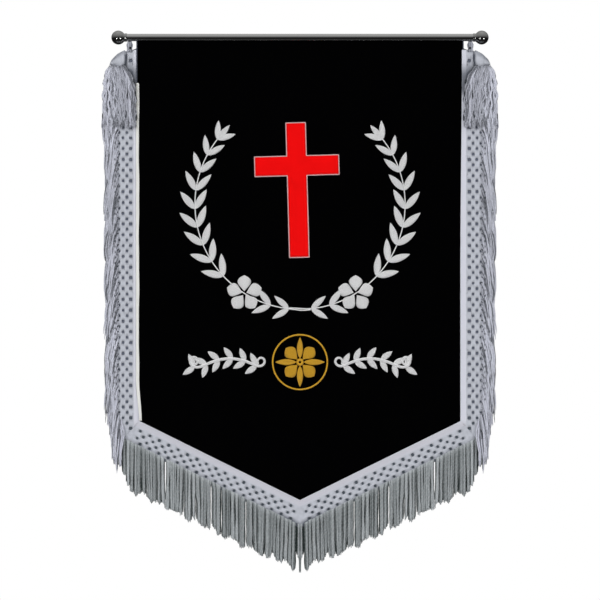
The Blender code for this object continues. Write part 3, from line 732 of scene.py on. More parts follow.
class Locks:
    """The yarns of a fringe as a column, lock by lock: each yarn's lock, its place there, its random draws.

    The yarns of a lock from front on lie behind the others.
    """

    def __init__(self, seed, locks, front, back=0):
        self.chance = np.random.default_rng(seed)
        self.locks, self.count = locks, locks * (front + back)
        self.lock = np.repeat(np.arange(locks), front + back)[:, None]
        self.member = np.tile(np.arange(front + back), locks)[:, None]
        self.back = self.member >= front

    def by_lock(self, low, high):
        """An even draw for each lock, the same for all its yarns."""
        return self.chance.uniform(low, high, self.locks)[self.lock]

    def by_yarn(self, low, high):
        """An even draw for each yarn."""
        return self.chance.uniform(low, high, (self.count, 1))

    def stray_lock(self, spread):
        """A normal draw for each lock, the same for all its yarns."""
        return self.chance.normal(0, spread, self.locks)[self.lock]

    def stray_yarn(self, spread):
        """A normal draw for each yarn."""
        return self.chance.normal(0, spread, (self.count, 1))


def fringe_pair(start, x, y, z, radii, tone, material, draped=1):
    """A fringe of closed yarns on each side, in place of its solid. The yarns' backs keep a light tone, free
    of painted shade.
    """
    for side, end in SIDES:
        paths = np.stack([side * x, draped * drape(side * x, z) + y, z], -1)
        points, faces, uv = yarns(paths, radii)
        behind = points[..., 1] - paths[..., None, 1] > radii[..., None] / 2
        tones = np.where(behind, np.maximum(tone[..., None], REAR_TONE), tone[..., None])
        piece = make_piece("yarn_" + start + end, points, faces, material, "fringe", uv=uv, tone=tones)
        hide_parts(start + end)


side_yarn = yarn_finish("side_fringe_yarn", YARN_COLOUR, YARN_PAINTED_SHADE, ROOT_LINE)
fall = np.linspace(0, 1, SIDE_STEPS)[None, :]
locks = int((SIDE_FRINGE_TOP + OUTER_SIDE_DROP - 0.002) / SIDE_LOCK_PITCH)
draw = Locks(SIDE_SEED, locks, SIDE_YARNS, SIDE_BACK_YARNS)
lock, back = draw.lock, draw.back
# Each yarn's root and length. The length varies by lock, and ends at set heights near the tape's corner
root_z = SIDE_FRINGE_TOP - lock * SIDE_LOCK_PITCH + draw.stray_yarn(0.0008)
above_corner = root_z + OUTER_SIDE_DROP
length = FRINGE_LENGTH * (draw.by_lock(0.86, 1.06) + draw.stray_yarn(0.025))
corner = np.zeros((locks, 2))
corner[:-1 - len(CORNER_LOCKS):-1] = CORNER_LOCKS
gathered, tips = np.moveaxis(corner[lock], -1, 0)
length = np.where(tips < 0, root_z - tips, np.minimum(length, CORNER_TIPS + above_corner))
length = length + draw.stray_yarn(0.002)
# How far each yarn reaches out of the tape: further from first to last in a lock, and less by the corner
spread = 0.14 + 0.38 * eased(above_corner, 0.02, 0.085) + 0.48 * eased(above_corner, 0.095, 0.125)
share = np.where(back, draw.by_yarn(0.45, 0.9), (draw.member + draw.by_yarn(0, 1)) / SIDE_YARNS)
uneven = 0.09 * np.sin(lock * 0.83) + draw.by_lock(-0.07, 0.07)
reach = SIDE_REACH - SIDE_REACH_LESS * eased(-root_z, 0.09, 0.20)
reach = spread * reach * (0.16 + 0.84 * share) * (1 + uneven)
leaving = 1 - (1 - fall) ** (2.1 + 1.6 * share)
# Each lock has a slow wave, and each yarn turns about its lock
wave_size = draw.by_lock(0.0004, 0.0015)
wave_turn = draw.by_lock(0, math.tau)
wave_rate = draw.by_lock(0.8, 1.7) * math.tau
out = SIDE_ROOT + (reach - SIDE_ROOT) * leaving + wave_size * fall * np.sin(wave_rate * fall + wave_turn)
twist = draw.by_yarn(0, math.tau) + draw.by_lock(4, 9) * fall
out = out + 0.0007 * np.sin(twist) * eased(fall, 0, 0.15)
deep = np.where(back, 0.0010, 0.0030 + 0.0048 * (1 - share) + draw.stray_yarn(0.0006))
depth = 0.0016 + deep * eased(fall, -0.05, 0.25) + 0.0006 * np.cos(twist)
x = OUTER_HALF + out - gathered * eased(fall, -0.25, 0.40)
z = root_z - length * fall ** 1.1
# A yarn swells in the middle of its fall. Some yarns are dark, and those behind are painted darkest, as shade
swelling = 0.70 + 0.42 * np.sin(math.pi * fall ** 0.6) - 0.40 * eased(fall, 0.9, 1.0)
radii = np.where(back, SIDE_BACK_RADIUS, YARN_RADIUS) * draw.by_yarn(*RADIUS_SHARES) * swelling
lock_tone = draw.by_lock(0.80, 1.12) * np.where(draw.by_yarn(0, 1) < 0.30, 0.30, 1)
# The tone is painted shade that deepens towards the roots and towards the back of each lock
tone = np.where(back, 0.12, lock_tone * (0.90 + 0.20 * (1 - share))) * (0.80 + 0.25 * fall ** 0.5)
fringe_pair("fringe_", x, -HEADING_MIDDLE - depth, z, radii, tone, side_yarn)

# The foot fringe: the same yarn, hanging straight down from both slopes of the foot in uneven locks. It
# parts in a few places, and fans out a little under the point.

FOOT_LOCK_PITCH = 0.0072
FOOT_YARNS, FOOT_BACK_YARNS = 6, 5
FOOT_STEPS = 14
FOOT_SEED = 52
FOOT_YARN_RADIUS, FOOT_BACK_RADIUS = 0.0009, 0.0011
# The fringe's length at the corner: distance from the middle, share of its full length
CORNER_LENGTHS = (
    (0.305, 1.0), (0.3189, 0.96), (0.3245, 0.875), (0.3301, 0.76), (0.3338, 0.66), (0.346, 0.60),
)
# The same for the locks next to the point, from the middle outwards
POINT_LENGTHS = np.array([0.70, 0.985, 0.93, 0.86, 0.945, 0.95, 0.865, 0.945, 0.98])
# Two yarns of the lock at the point hang longer than the rest of it
POINT_TUFT = 0.965
# The two locks at the point: place from the middle; the first is narrower than the others
POINT_PLACES, POINT_WIDTH = (0.0023, 0.0118), 0.0017
# Where the fringe parts: distance from the middle, half the parting's width, share of the fall it starts at
PARTINGS = ((0.1627, 0.0024, 0.0), (0.1925, 0.0020, 0.40), (0.0530, 0.0016, 0.86), (0.0860, 0.0014, 0.70))
# The painted shade of the yarns behind: their tones, and how many have each
BACK_SHADE_TONES, BACK_SHADE_SHARES = (0.04, 0.10, 0.35, 0.55), (0.35, 0.30, 0.20, 0.15)

foot_yarn = yarn_finish("foot_fringe_yarn", FOOT_YARN_COLOUR, FOOT_YARN_PAINTED_SHADE)
fall = np.linspace(0, 1, FOOT_STEPS)[None, :]
draw = Locks(FOOT_SEED, int((OUTER_HALF - 0.001) / FOOT_LOCK_PITCH), FOOT_YARNS, FOOT_BACK_YARNS)
lock, member, back = draw.lock, draw.member, draw.back
# Each lock's middle, and each yarn's place across its lock, from -1 to 1
centre = 0.0037 + lock * FOOT_LOCK_PITCH + draw.stray_lock(0.0012)
width = np.where(lock == 0, POINT_WIDTH, draw.by_lock(0.0026, 0.0042))
centre = np.where(lock == 0, POINT_PLACES[0], np.where(lock == 1, POINT_PLACES[1], centre))
place = np.where(back, (member - FOOT_YARNS) / (FOOT_BACK_YARNS - 1), member / (FOOT_YARNS - 1)) * 2 - 1
offset = place * np.where(back, FOOT_LOCK_PITCH * 0.52, width) + draw.stray_yarn(0.0003)
# A lock narrows to a waist, fans out near the point, sways, and draws away from a parting
waist = draw.by_lock(0.10, 0.62)
waist_at = draw.by_lock(0.15, 1.15)
pinch = np.exp(-(((fall - waist_at) / draw.by_lock(0.14, 0.42)) ** 2))
narrowing = 1 - np.where(back, 0.05, waist) * pinch
fan = 0.0040 * np.exp(-((centre / 0.062) ** 2)) * eased(centre, 0.008, 0.034) * fall
sway = draw.stray_lock(0.0013) * np.where(lock == 0, 0, np.where(back, 0.3, 1)) * fall ** 1.3
x = centre + offset * narrowing + fan + sway
for middle, half_width, start in PARTINGS:
    near = np.exp(-(((x - middle) / (half_width * 2.6)) ** 2))
    away = np.where(centre < middle, -1, 1)
    x = x + away * half_width * near * eased(fall, start, start + 0.15)
# Each yarn's root on the tape's edge, and its length
root = -OUTER_POINT_DROP + POINT_SLOPE * np.abs(centre + offset) + draw.by_lock(0.0056, 0.0070)
shorter = np.interp(centre, *np.transpose(CORNER_LENGTHS))
lock_length = draw.by_lock(0.955, 1.02) + 0.03 * np.sin(lock * 1.37)
by_point = POINT_LENGTHS[np.minimum(lock, len(POINT_LENGTHS) - 1)]
lock_length = np.where(lock < len(POINT_LENGTHS), by_point, lock_length)
lock_length = np.where((lock == 0) & (member < 2), POINT_TUFT, lock_length)
length = shorter * (FRINGE_LENGTH + 0.005) * (lock_length + draw.stray_yarn(0.011))
length = length * np.where(back, 0.975, 1) - 0.002 * np.abs(place) ** 3
z = root - length * fall
# A lock bulges to the front, and its side yarns are a little shorter than its middle ones, and painted in
# shade
bulge = np.where(back, 0.0018, -0.0012 - 0.0030 * np.sqrt(np.clip(1 - place ** 2, 0, 1)))
x = x + 0.0004 * np.sin(fall * draw.by_yarn(8, 20) + draw.by_yarn(0, 6)) * fall
root_front = np.where(back, 0.0004, -0.0016)
y = root_front + (bulge - root_front) * eased(fall, 0, 0.15) + draw.stray_yarn(0.0003)
taper = 1 - 0.35 * eased(fall, 0.92, 1.0)
radii = np.where(back, FOOT_BACK_RADIUS, FOOT_YARN_RADIUS) * draw.by_yarn(*RADIUS_SHARES) * taper
lock_tone = draw.by_lock(0.66, 1.08) * np.where(draw.by_yarn(0, 1) < 0.12, 0.55, 1)
back_shade = draw.chance.choice(BACK_SHADE_TONES, (draw.count, 1), p=BACK_SHADE_SHARES)
# Painted shade: a lock's side yarns darker, and yarns darker near their roots, but the front yarns' tops
# lighter
tone = np.where(back, back_shade, lock_tone * (1 - 0.50 * np.abs(place) ** 3)) * (0.85 + 0.15 * fall)
tone = tone + np.where(back, 0, 0.35) * (1 - eased(fall, 0.02, 0.10))
tone = tone * (1 - 0.12 * np.exp(-((centre / 0.12) ** 2)))
fringe_pair("fringe_foot_", x, y - HEADING_MIDDLE, z, radii, tone, foot_yarn)

# The shoulders: at each top corner the tape is turned over on itself and tacked, so that it makes a soft
# flap, and its fringe falls in front of the tape in wavy locks.

# The flap's edges: place from the middle, height of its upper edge, height of its lower edge
FLAP_EDGES = (
    (0.3222, -0.0292, -0.0602), (0.3281, -0.0320, -0.0622), (0.3339, -0.0350, -0.0658),
    (0.3397, -0.0383, -0.0643), (0.3447, -0.0430, -0.0613), (0.3521, -0.0505, -0.0602),
    (0.3550, -0.0570, -0.0592),
)
FLAP_DEPTH = 0.0062
FLAP_BACK = 0.0034
FLAP_STATIONS, FLAP_ROUND = 30, 36
SHOULDER_LAYERS, SHOULDER_LOCKS, SHOULDER_YARNS = 4, 13, 4
SHOULDER_STEPS = 25
SHOULDER_SEED = 70
# The shoulder's yarns across their width: place of the first and last root, and of the first and last tip
SHOULDER_ROOTS, SHOULDER_TIPS = (0.3280, 0.3535), (0.3068, 0.3652)
SHOULDER_ROOT_Z = -0.0590
# The tone of each layer, from the one that lies deepest, which is painted darkest, as shade
LAYER_SHADE_TONES = np.array([0.14, 0.55, 0.92, 1.0])

share = 0.5 - 0.5 * np.cos(np.linspace(0.05, math.pi - 0.05, FLAP_STATIONS))[:, None]
turn = (np.arange(FLAP_ROUND) / FLAP_ROUND * math.tau)[None, :]
place, upper, lower = np.transpose(FLAP_EDGES)
flap_x = place[0] + (place[-1] - place[0]) * share + 0 * turn
upper, lower = np.interp(flap_x, place, upper), np.interp(flap_x, place, lower)
plump = np.sin(math.pi * share) ** 0.35
crease = 1 + 0.07 * np.sin(34 * share + 2 * np.sin(turn)) * np.sin(turn)
flap_z = (upper + lower) / 2 + (upper - lower) / 2 * np.cos(turn) * np.minimum(1, 1.35 * plump)
flap_y = -FLAP_BACK - FLAP_DEPTH * plump * (1 + np.sin(turn) * crease)
# Painted shade on the flap's underside, upper rim and inner end's slit, and a painted highlight near that end
rim_shade = 0.38 * eased(np.cos(turn) + 0.35 * share, 0.30, 0.88)
slit_shade = 0.80 * (1 - eased(flap_x, 0.3245, 0.3278)) * eased(-flap_z, 0.036, 0.042)
flap_light_and_shade = 0.40 + 0.50 * eased(np.cos(turn) + 0 * share, -0.96, -0.35) - rim_shade - slit_shade
flap_light_and_shade = flap_light_and_shade + 0.10 * np.exp(-((flap_x - 0.332) / 0.006) ** 2)
ring = np.arange(FLAP_ROUND)
body = grid_quads(FLAP_STATIONS, FLAP_ROUND, round_columns=True)
for side, name in SIDES:
    points = np.stack([side * flap_x, flap_y, flap_z], -1)
    faces = [f[::-side] for f in [*body, ring[::-1], ring + (FLAP_STATIONS - 1) * FLAP_ROUND]]
    uv = np.stack([flap_x, 0.04 + flap_z * 0.1], -1).reshape(-1, 2)[np.concatenate(faces)]
    make_piece("tape_flap_" + name, points, faces, netted_finish, "heading", uv=uv, tone=flap_light_and_shade)

fall = np.linspace(0, 1, SHOULDER_STEPS)[None, :]
draw = Locks(SHOULDER_SEED, SHOULDER_LAYERS * SHOULDER_LOCKS, SHOULDER_YARNS)
# The locks lie in layers, each set half a lock aside from the one behind it
layer = draw.lock // SHOULDER_LOCKS
share = (draw.lock % SHOULDER_LOCKS + 0.5 * (layer % 2) + 0.25) / SHOULDER_LOCKS
root_x = SHOULDER_ROOTS[0] + (SHOULDER_ROOTS[1] - SHOULDER_ROOTS[0]) * share + draw.stray_yarn(0.0006)
tip_x = SHOULDER_TIPS[0] + (SHOULDER_TIPS[1] - SHOULDER_TIPS[0]) * share + draw.stray_lock(0.0020)
length = draw.by_lock(0.102, 0.118) + draw.stray_yarn(0.0025)
length = np.where(layer == 0, 0.104, length)
# A lock leaves the flap steeply, and falls in waves with its yarns turned round each other
leaving = 1 - (1 - fall) ** (4.6 + share)
wave_size = draw.by_lock(0.0008, 0.0021)
wave_turn = draw.by_lock(0, math.tau)
wave_rate = draw.by_lock(2.2, 5.0) * math.tau
twist = draw.by_yarn(0, math.tau) + draw.by_lock(6, 16) * fall
x = root_x + (tip_x - root_x) * leaving
x = x + wave_size * np.sin(wave_rate * fall + wave_turn) * eased(fall, 0, 0.15) + 0.0011 * np.sin(twist)
curl = draw.by_yarn(0.0003, 0.0013) * eased(fall, 0.05, 0.35)
x = x + curl * np.sin(draw.by_yarn(18, 42) * fall + draw.by_yarn(0, 6))
# Each layer lies in front of the one before, and all of them come closer to the tape as they fall
front = 0.0078 + 0.0021 * layer + draw.stray_lock(0.0005)
y = -FLAP_BACK - FLAP_DEPTH * 1.1 - (front - FLAP_DEPTH) * eased(fall, -0.02, 0.12)
y = y + 0.0008 * np.cos(twist) + (0.0030 + 0.0016 * layer) * fall
z = SHOULDER_ROOT_Z - 0.0015 * share - length * fall ** 1.05
swelling = 0.80 + 0.30 * np.sin(math.pi * fall ** 0.7) - 0.40 * eased(fall, 0.92, 1.0)
radii = YARN_RADIUS * draw.by_yarn(*RADIUS_SHARES) * swelling
lock_tone = draw.by_lock(0.64, 1.06) * LAYER_SHADE_TONES[layer]
# Painted shade near the roots, under the flap; some yarns are dark at random
tone = lock_tone * np.where(draw.by_yarn(0, 1) < 0.18, 0.45, 1) * (0.60 + 0.40 * eased(fall, 0, 0.12))
fringe_pair("fringe_shoulder_", x, y, z, radii, tone, side_yarn, draped=0)

# The tape's tails: above each shoulder the tape's threads are gathered into a short puff that is pulled up
# into the rod's slot. It is bound with black thread at its neck, and caught to the cloth's edge below.

TAIL_THREADS, TAIL_STEPS = 9, 18
TAIL_MIDDLE = 0.3177
TAIL_THREAD_RADIUS = 0.0011
# The puff's outline, from its foot up: height, half width
TAIL_SHAPE = (
    (-0.0340, 0.0056), (-0.0290, 0.0036), (-0.0265, 0.0036), (-0.0205, 0.0054), (-0.0150, 0.0030),
    (-0.0105, 0.0018),
)
BINDING_RADIUS = 0.0005
BINDING_STEPS = 120
NECK_TURNS, KNOT_TURNS = 6, 5
BLACK_THREAD = (0.004, 0.004, 0.005, 1)
BLACK_THREAD_WORN = (0.012, 0.012, 0.014, 1)

nodes, surface = finish("black_binding_thread", {"Roughness": 0.8})
fuzz = nodes.noise(800, nodes.place())
black_thread = surface(Base_Color=nodes.mix(fuzz, BLACK_THREAD, BLACK_THREAD_WORN))


def winding(middle, half_sizes, turns, top, fall):
    """A thread that goes round a middle in ellipses, and sinks evenly from its top."""
    angle = turns * math.tau * turn
    x, y = middle[0] + half_sizes[0] * np.cos(angle), middle[1] + half_sizes[1] * np.sin(angle)
    return np.stack([x, y, top - fall * turn], -1)


rise = np.linspace(0, 1, TAIL_STEPS)[None, :]
place = np.linspace(-1, 1, TAIL_THREADS)[:, None]
height, half_width = np.transpose(TAIL_SHAPE)
tail_z = height[0] + (height[-1] - height[0]) * rise + 0 * place
tail_x = TAIL_MIDDLE + place * np.interp(tail_z, height, half_width) + 0.0004 * np.sin(9 * rise + 5 * place)
tail_y = -0.0034 + 0.0026 * eased(rise, 0.45, 1.0) - 0.0011 * (1 - place ** 2)
# The tail's threads are painted in shade, darkest on its inner side, and differ thread by thread
tail_shade_tone = 0.52 + 0.18 * np.cos(2.3 * np.arange(TAIL_THREADS)) + 0.20 * place[:, 0]
tail_shade_tone = np.repeat(tail_shade_tone, TAIL_STEPS * YARN_SIDES)
turn = np.linspace(0, 1, BINDING_STEPS)
for side, name in SIDES:
    tail_path = np.stack([side * tail_x, tail_y, tail_z], -1)
    points, faces, uv = yarns(tail_path, np.full(tail_z.shape, TAIL_THREAD_RADIUS))
    make_piece("tape_tail_" + name, points, faces, side_yarn, "heading", uv=uv, tone=tail_shade_tone)

    neck = winding((side * TAIL_MIDDLE, -0.0008), (0.0034, 0.0024), NECK_TURNS, -0.0118, 0.0042)
    knot = winding((side * 0.3166, -0.0052), (side * 0.0017, 0.0015), KNOT_TURNS, -0.0252, 0.0030)
    stay_z = -0.0275 - 0.0030 * np.sin(math.pi * turn ** 0.7)
    stay = np.stack([side * (0.3160 - 0.0110 * turn), -0.0050 + 0.0040 * turn, stay_z], -1)
    points, faces, uv = yarns(np.stack([neck, knot, stay]), np.full((3, BINDING_STEPS), BINDING_RADIUS))
    make_piece("tail_binding_" + name, points, faces, black_thread, "velvet", uv=uv)

# The cross: red satin-weave cloth, laid on the velvet a little out of true, with its edges turned under so
# that it stands slightly proud in the middle of each arm.

CROSS_CENTRE = (-0.0047, -0.2916)
CROSS_TALL, CROSS_WIDE, CROSS_BAR = 0.250, 0.156, 0.0355
CROSS_ARM = CROSS_TALL / 2 - 0.0795
CROSS_TILT = math.radians(1.6)
CROSS_FRONT = 0.0017
CROSS_PUFF = 0.0009
CROSS_THICKNESS = 0.0008
CROSS_STEP, BAR_STEPS = 0.0045, 9
SATIN_PITCH = 0.0007
CROSS_RED = (0.95, 0.0010, 0.0015, 1)
CROSS_DARK = (0.76, 0.0008, 0.0010, 1)


def on_cross(x, z):
    """A place on the upright cross, turned by its tilt and carried to its middle on the banner."""
    cos, sin = math.cos(CROSS_TILT), math.sin(CROSS_TILT)
    return CROSS_CENTRE[0] + cos * x - sin * z, CROSS_CENTRE[1] + sin * x + cos * z


def red_cloth():
    nodes, surface = fabric("red_satin_weave", 0.7, 0.12, 0.01, 0.4)
    place = nodes.place()
    x, _, z = nodes.parts_of(place)
    warp, weft = x.ridges(SATIN_PITCH), z.ridges(SATIN_PITCH)
    cloud = nodes.noise(30, place, detail=4.0)
    return surface(
        Base_Color=nodes.mix(cloud * 0.6 + weft * 0.15, CROSS_RED, CROSS_DARK),
        Normal=nodes.bump(warp * weft + cloud * 0.3, 0.0002, 0.6),
    )


def arm_stations(low, high, bar_low, bar_high):
    """Stations from end to end of an arm, with one on each edge of the bar that crosses it."""
    return np.concatenate([
        np.linspace(low, bar_low, math.ceil((bar_low - low) / CROSS_STEP), endpoint=False),
        np.linspace(bar_low, bar_high, BAR_STEPS, endpoint=False),
        np.linspace(bar_high, high, math.ceil((high - bar_high) / CROSS_STEP) + 1),
    ])


bar, half_tall, half_wide = CROSS_BAR / 2, CROSS_TALL / 2, CROSS_WIDE / 2
cross_x, cross_z = np.meshgrid(
    arm_stations(-half_wide, half_wide, -bar, bar),
    arm_stations(-half_tall, half_tall, CROSS_ARM - bar, CROSS_ARM + bar),
)
inside_post = np.minimum(bar - np.abs(cross_x), half_tall - np.abs(cross_z))
inside_beam = np.minimum(bar - np.abs(cross_z - CROSS_ARM), half_wide - np.abs(cross_x))
inside = np.maximum(inside_post, inside_beam)
x, z = on_cross(cross_x, cross_z)
y = drape(x, z) - CROSS_FRONT - CROSS_PUFF * eased(inside, -0.0002, 0.006)
faces = grid_quads(*cross_x.shape)
keep = inside.ravel()[faces].min(axis=1) > -1e-6
middle_x, middle_z = (way.ravel()[faces].mean(axis=1) for way in (cross_x, cross_z))
keep &= (np.abs(middle_x) < bar) | (np.abs(middle_z - CROSS_ARM) < bar)
used, faces = np.unique(faces[keep], return_inverse=True)
points = np.stack([x, y, z], -1).reshape(-1, 3)[used]
cross_piece = make_piece("red_cross", points, faces.reshape(-1, 4)[:, ::-1], red_cloth(), "cross")
thicken(cross_piece, CROSS_THICKNESS)
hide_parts("cross")

# The cross's edging: a pale pink cord that is couched round the cross and covers its turned edges.

EDGING_GROW = 0.0006
EDGING_HALF_WIDE, EDGING_HALF_THICK = 0.0010, 0.0008
EDGING_PROUD = 0.0004
EDGING_STEP = 0.0011
EDGING_SIDES = 8
EDGING_LIGHT = (0.83, 0.60, 0.60, 1)
EDGING_SHADE = (0.62, 0.34, 0.35, 1)


def couched_cord():
    nodes, surface = fabric("pale_couched_cord", 0.5, 0.4, 0.2, 0.4)
    turn, along = nodes.uv()
    ply = (turn * 2 + along * 0.8).ridges(1)
    return surface(
        Base_Color=nodes.mix(ply ** 0.7, EDGING_SHADE, EDGING_LIGHT), Normal=nodes.bump(ply, 0.0005, 0.9)
    )


wide, tall, thick = half_wide + EDGING_GROW, half_tall + EDGING_GROW, bar + EDGING_GROW
right_side = [
    (thick, tall), (thick, CROSS_ARM + thick), (wide, CROSS_ARM + thick), (wide, CROSS_ARM - thick),
    (thick, CROSS_ARM - thick), (thick, -tall),
]
corners = np.array(right_side + [(-x, z) for x, z in reversed(right_side)])
ends = np.roll(corners, -1, axis=0)
outline = np.concatenate([
    a + (b - a) * np.linspace(0, 1, math.ceil(math.dist(a, b) / EDGING_STEP), endpoint=False)[:, None]
    for a, b in zip(corners, ends)
])
x, z = on_cross(*outline.T)
path = np.stack([x, drape(x, z) - CROSS_FRONT - EDGING_PROUD, z], -1)
along = np.roll(path, -1, axis=0) - np.roll(path, 1, axis=0)
along /= np.linalg.norm(along, axis=1, keepdims=True)
sideways = np.cross(along, (0, 1, 0))[:, None]
angle = (np.arange(EDGING_SIDES) / EDGING_SIDES * math.tau)[:, None]
cord = path[:, None] + np.cos(angle) * sideways * EDGING_HALF_WIDE + np.sin(angle) * (0, EDGING_HALF_THICK, 0)
faces = grid_quads(len(cord), EDGING_SIDES, round_rows=True, round_columns=True)
uv = turn_uv(len(cord), EDGING_SIDES)
edging_piece = make_piece("cross_edging_cord", cord, faces, couched_cord(), "edging", uv=uv)
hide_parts("cross_edging")

# The stitched branches: two leafy sprays in white satin stitch that rise round the foot and sides of the
# cross, with a five-petalled blossom on each. Every leaf is padded and split by its midrib.

SPRAY_CENTRE = (0, -0.318)
SPRAY_RADIUS = 0.196
# Where the leaves start and end round the spray's circle, and where its stem starts
SPRAY_ARC, STEM_START = (math.radians(-84), math.radians(38)), math.radians(-96)
STITCH_FRONT = 0.0009
STITCH_BACKING = 0.0004
SATIN_THREAD = 0.0006
LEAF_ROWS, LEAF_COLUMNS = 11, 9
WHITE_THREAD = (0.86, 0.86, 0.86, 1)
WHITE_SHADE = (0.50, 0.50, 0.52, 1)
LEAF_PAIRS = 13
LEAF_LENGTH, LEAF_WIDTH, LEAF_POINT = 0.040, 0.0125, 0.85
# How far a leaf leans away from its stem, in radians, and how far that varies
LEAF_LEAN, LEAF_LEAN_SPREAD = 0.62, 0.06
# Length and width of the leaf at the spray's tip, and of a blossom's petal
TIP_LEAF, BLOSSOM_PETAL = (0.036, 0.011), (0.030, 0.0255)
STEM_RADIUS, STEM_STEPS = 0.0011, 90
BLOSSOM_TURN = math.radians(-58)
# No leaf stands this close to the blossom's middle, as an angle round the spray's circle
BLOSSOM_CLEAR = 0.13


def satin_stitch(name, light, shade):
    """Satin stitch: threads laid side by side across each shape, as ridges in its UV."""
    nodes, surface = fabric(name, 0.42, 0.5, 0.1, 0.3)
    thread = nodes.uv()[0].ridges(SATIN_THREAD)
    uneven = nodes.noise(300, nodes.place())
    return surface(
        Base_Color=nodes.mix(thread ** 0.5 * 0.85 + uneven * 0.25, shade, light),
        Normal=nodes.bump(thread, 0.00025, 0.8),
    )


def leaves(x, z, turn, length, width, point=LEAF_POINT, height=0.0012, cleft=0.35):
    """Padded leaves: half width = width * sin(pi t ** point), height falls off as the root of 1 - s * s.

    Each leaf starts at x, z and runs the way of turn; t goes along it and s across it, and a cleft lowers
    the midrib. Gives the points, and their UV of distance along and across.
    """
    t = np.linspace(0, 1, LEAF_ROWS)[:, None]
    s = np.linspace(-1, 1, LEAF_COLUMNS)
    x, z, turn, length, width = (np.reshape(value, (-1, 1, 1)) for value in (x, z, turn, length, width))
    run = length * t + 0 * turn
    offset = width / 2 * np.sin(math.pi * t ** point) ** 0.8 * s + 0 * turn
    px = x + run * np.cos(turn) - offset * np.sin(turn)
    pz = z + run * np.sin(turn) + offset * np.cos(turn)
    dome = np.sqrt(np.clip(1 - s ** 2, 0, 1)) * (1 - cleft * np.exp(-((s / 0.22) ** 2)))
    py = drape(px, pz) - STITCH_FRONT - height * dome * np.sin(math.pi * t) ** 0.4
    return np.stack([px, py, pz], -1), np.stack([run + np.abs(offset) * 0.8, offset], -1)


def flower(centre, petals, first, start, length, width, **form):
    """Petals all round a centre, each of which starts a little way out from it."""
    turn = first + np.arange(petals) / petals * math.tau
    x, z = centre[0] + start * np.cos(turn), centre[1] + start * np.sin(turn)
    return leaves(x, z, turn, length, width, **form)


def stitched_piece(name, shapes, material, slot):
    """All shapes of one stitched motif in one mesh, each a closed pad: its dome and a flat back."""
    points, uv = (np.concatenate(kind) for kind in zip(*shapes))
    faces = repeated(grid_quads(LEAF_ROWS, LEAF_COLUMNS), len(points), LEAF_ROWS * LEAF_COLUMNS)
    piece = make_piece(name, points, faces, material, slot, uv=uv.reshape(-1, 2)[faces.ravel()])
    thicken(piece, STITCH_BACKING, -1)


def stitched_line(name, x, z, radius, material, slot, proud, stitch):
    """A round line of stitches on the cloth: how proud its middle stands, and its stitches' scale."""
    path = np.stack([x, drape(x, z) - STITCH_FRONT - proud, z], -1)
    points, faces, uv = yarns(path[None], np.broadcast_to(radius, (1, len(path))))
    make_piece(name, points, faces, material, slot, uv=uv * stitch)


def facing(side, turn):
    """A direction on the right half of the banner, or its mirror image on the left."""
    return turn if side > 0 else math.pi - turn


white = (satin_stitch("white_satin_stitch", WHITE_THREAD, WHITE_SHADE), "white_stitching")
station = np.linspace(*SPRAY_ARC, LEAF_PAIRS)
chance = np.random.default_rng(7)
leaf_x = SPRAY_CENTRE[0] + SPRAY_RADIUS * np.cos(station)
leaf_z = SPRAY_CENTRE[1] + SPRAY_RADIUS * np.sin(station)
ahead = station + math.pi / 2
scale = 0.80 + 0.30 * np.sin(np.linspace(0.4, 2.8, LEAF_PAIRS))
leans = [ahead + way * (LEAF_LEAN + LEAF_LEAN_SPREAD * chance.uniform(-1, 1, LEAF_PAIRS)) for way in (-1, 1)]
clear = np.abs(station - BLOSSOM_TURN) > BLOSSOM_CLEAR
blossom_x = SPRAY_CENTRE[0] + SPRAY_RADIUS * math.cos(BLOSSOM_TURN)
blossom_z = SPRAY_CENTRE[1] + SPRAY_RADIUS * math.sin(BLOSSOM_TURN)
arc = np.linspace(STEM_START, SPRAY_ARC[1], STEM_STEPS)
stem_x, stem_z = SPRAY_CENTRE[0] + SPRAY_RADIUS * np.cos(arc), SPRAY_CENTRE[1] + SPRAY_RADIUS * np.sin(arc)
# The stems cross at their foot, one a little above the other
lift = 0.002 * np.exp(-((arc + 1.62) / 0.1) ** 2)
for side, name in SIDES:
    shapes = [
        leaves(
            side * leaf_x[clear], leaf_z[clear], facing(side, lean[clear]), LEAF_LENGTH * scale[clear],
            LEAF_WIDTH * scale[clear],
        )
        for lean in leans
    ]
    shapes.append(leaves(side * leaf_x[-1:], leaf_z[-1:], facing(side, ahead[-1:] + 0.05), *TIP_LEAF))
    stitched_piece("stitched_leaves_" + name, shapes, *white)

    petals = flower(
        (side * blossom_x, blossom_z), 5, math.radians(90), 0.004, *BLOSSOM_PETAL,
        point=1.35, height=0.0018, cleft=0.2,
    )
    stitched_piece("stitched_blossom_" + name, [petals], *white)
    stitched_line(
        "stitched_stem_" + name, side * stem_x, stem_z + side * lift, STEM_RADIUS, *white,
        proud=0.0006, stitch=0.0012,
    )

# The rosette: a gold satin-stitch flower of eight petals inside a couched ring, under the foot of the
# cross.

ROSETTE = (0, -0.6125)
PETAL_START = 0.0065
# Length and width of the petals
WIDE_PETAL, NARROW_PETAL = (0.031, 0.024), (0.040, 0.0115)
# Each ring: its radius, half its thickness, its name
RINGS, RING_POINTS = ((0.0510, 0.0016, "outer"), (0.0045, 0.0024, "centre")), 81
GOLD_THREAD = (0.72, 0.40, 0.02, 1)
GOLD_SHADE = (0.34, 0.16, 0.006, 1)

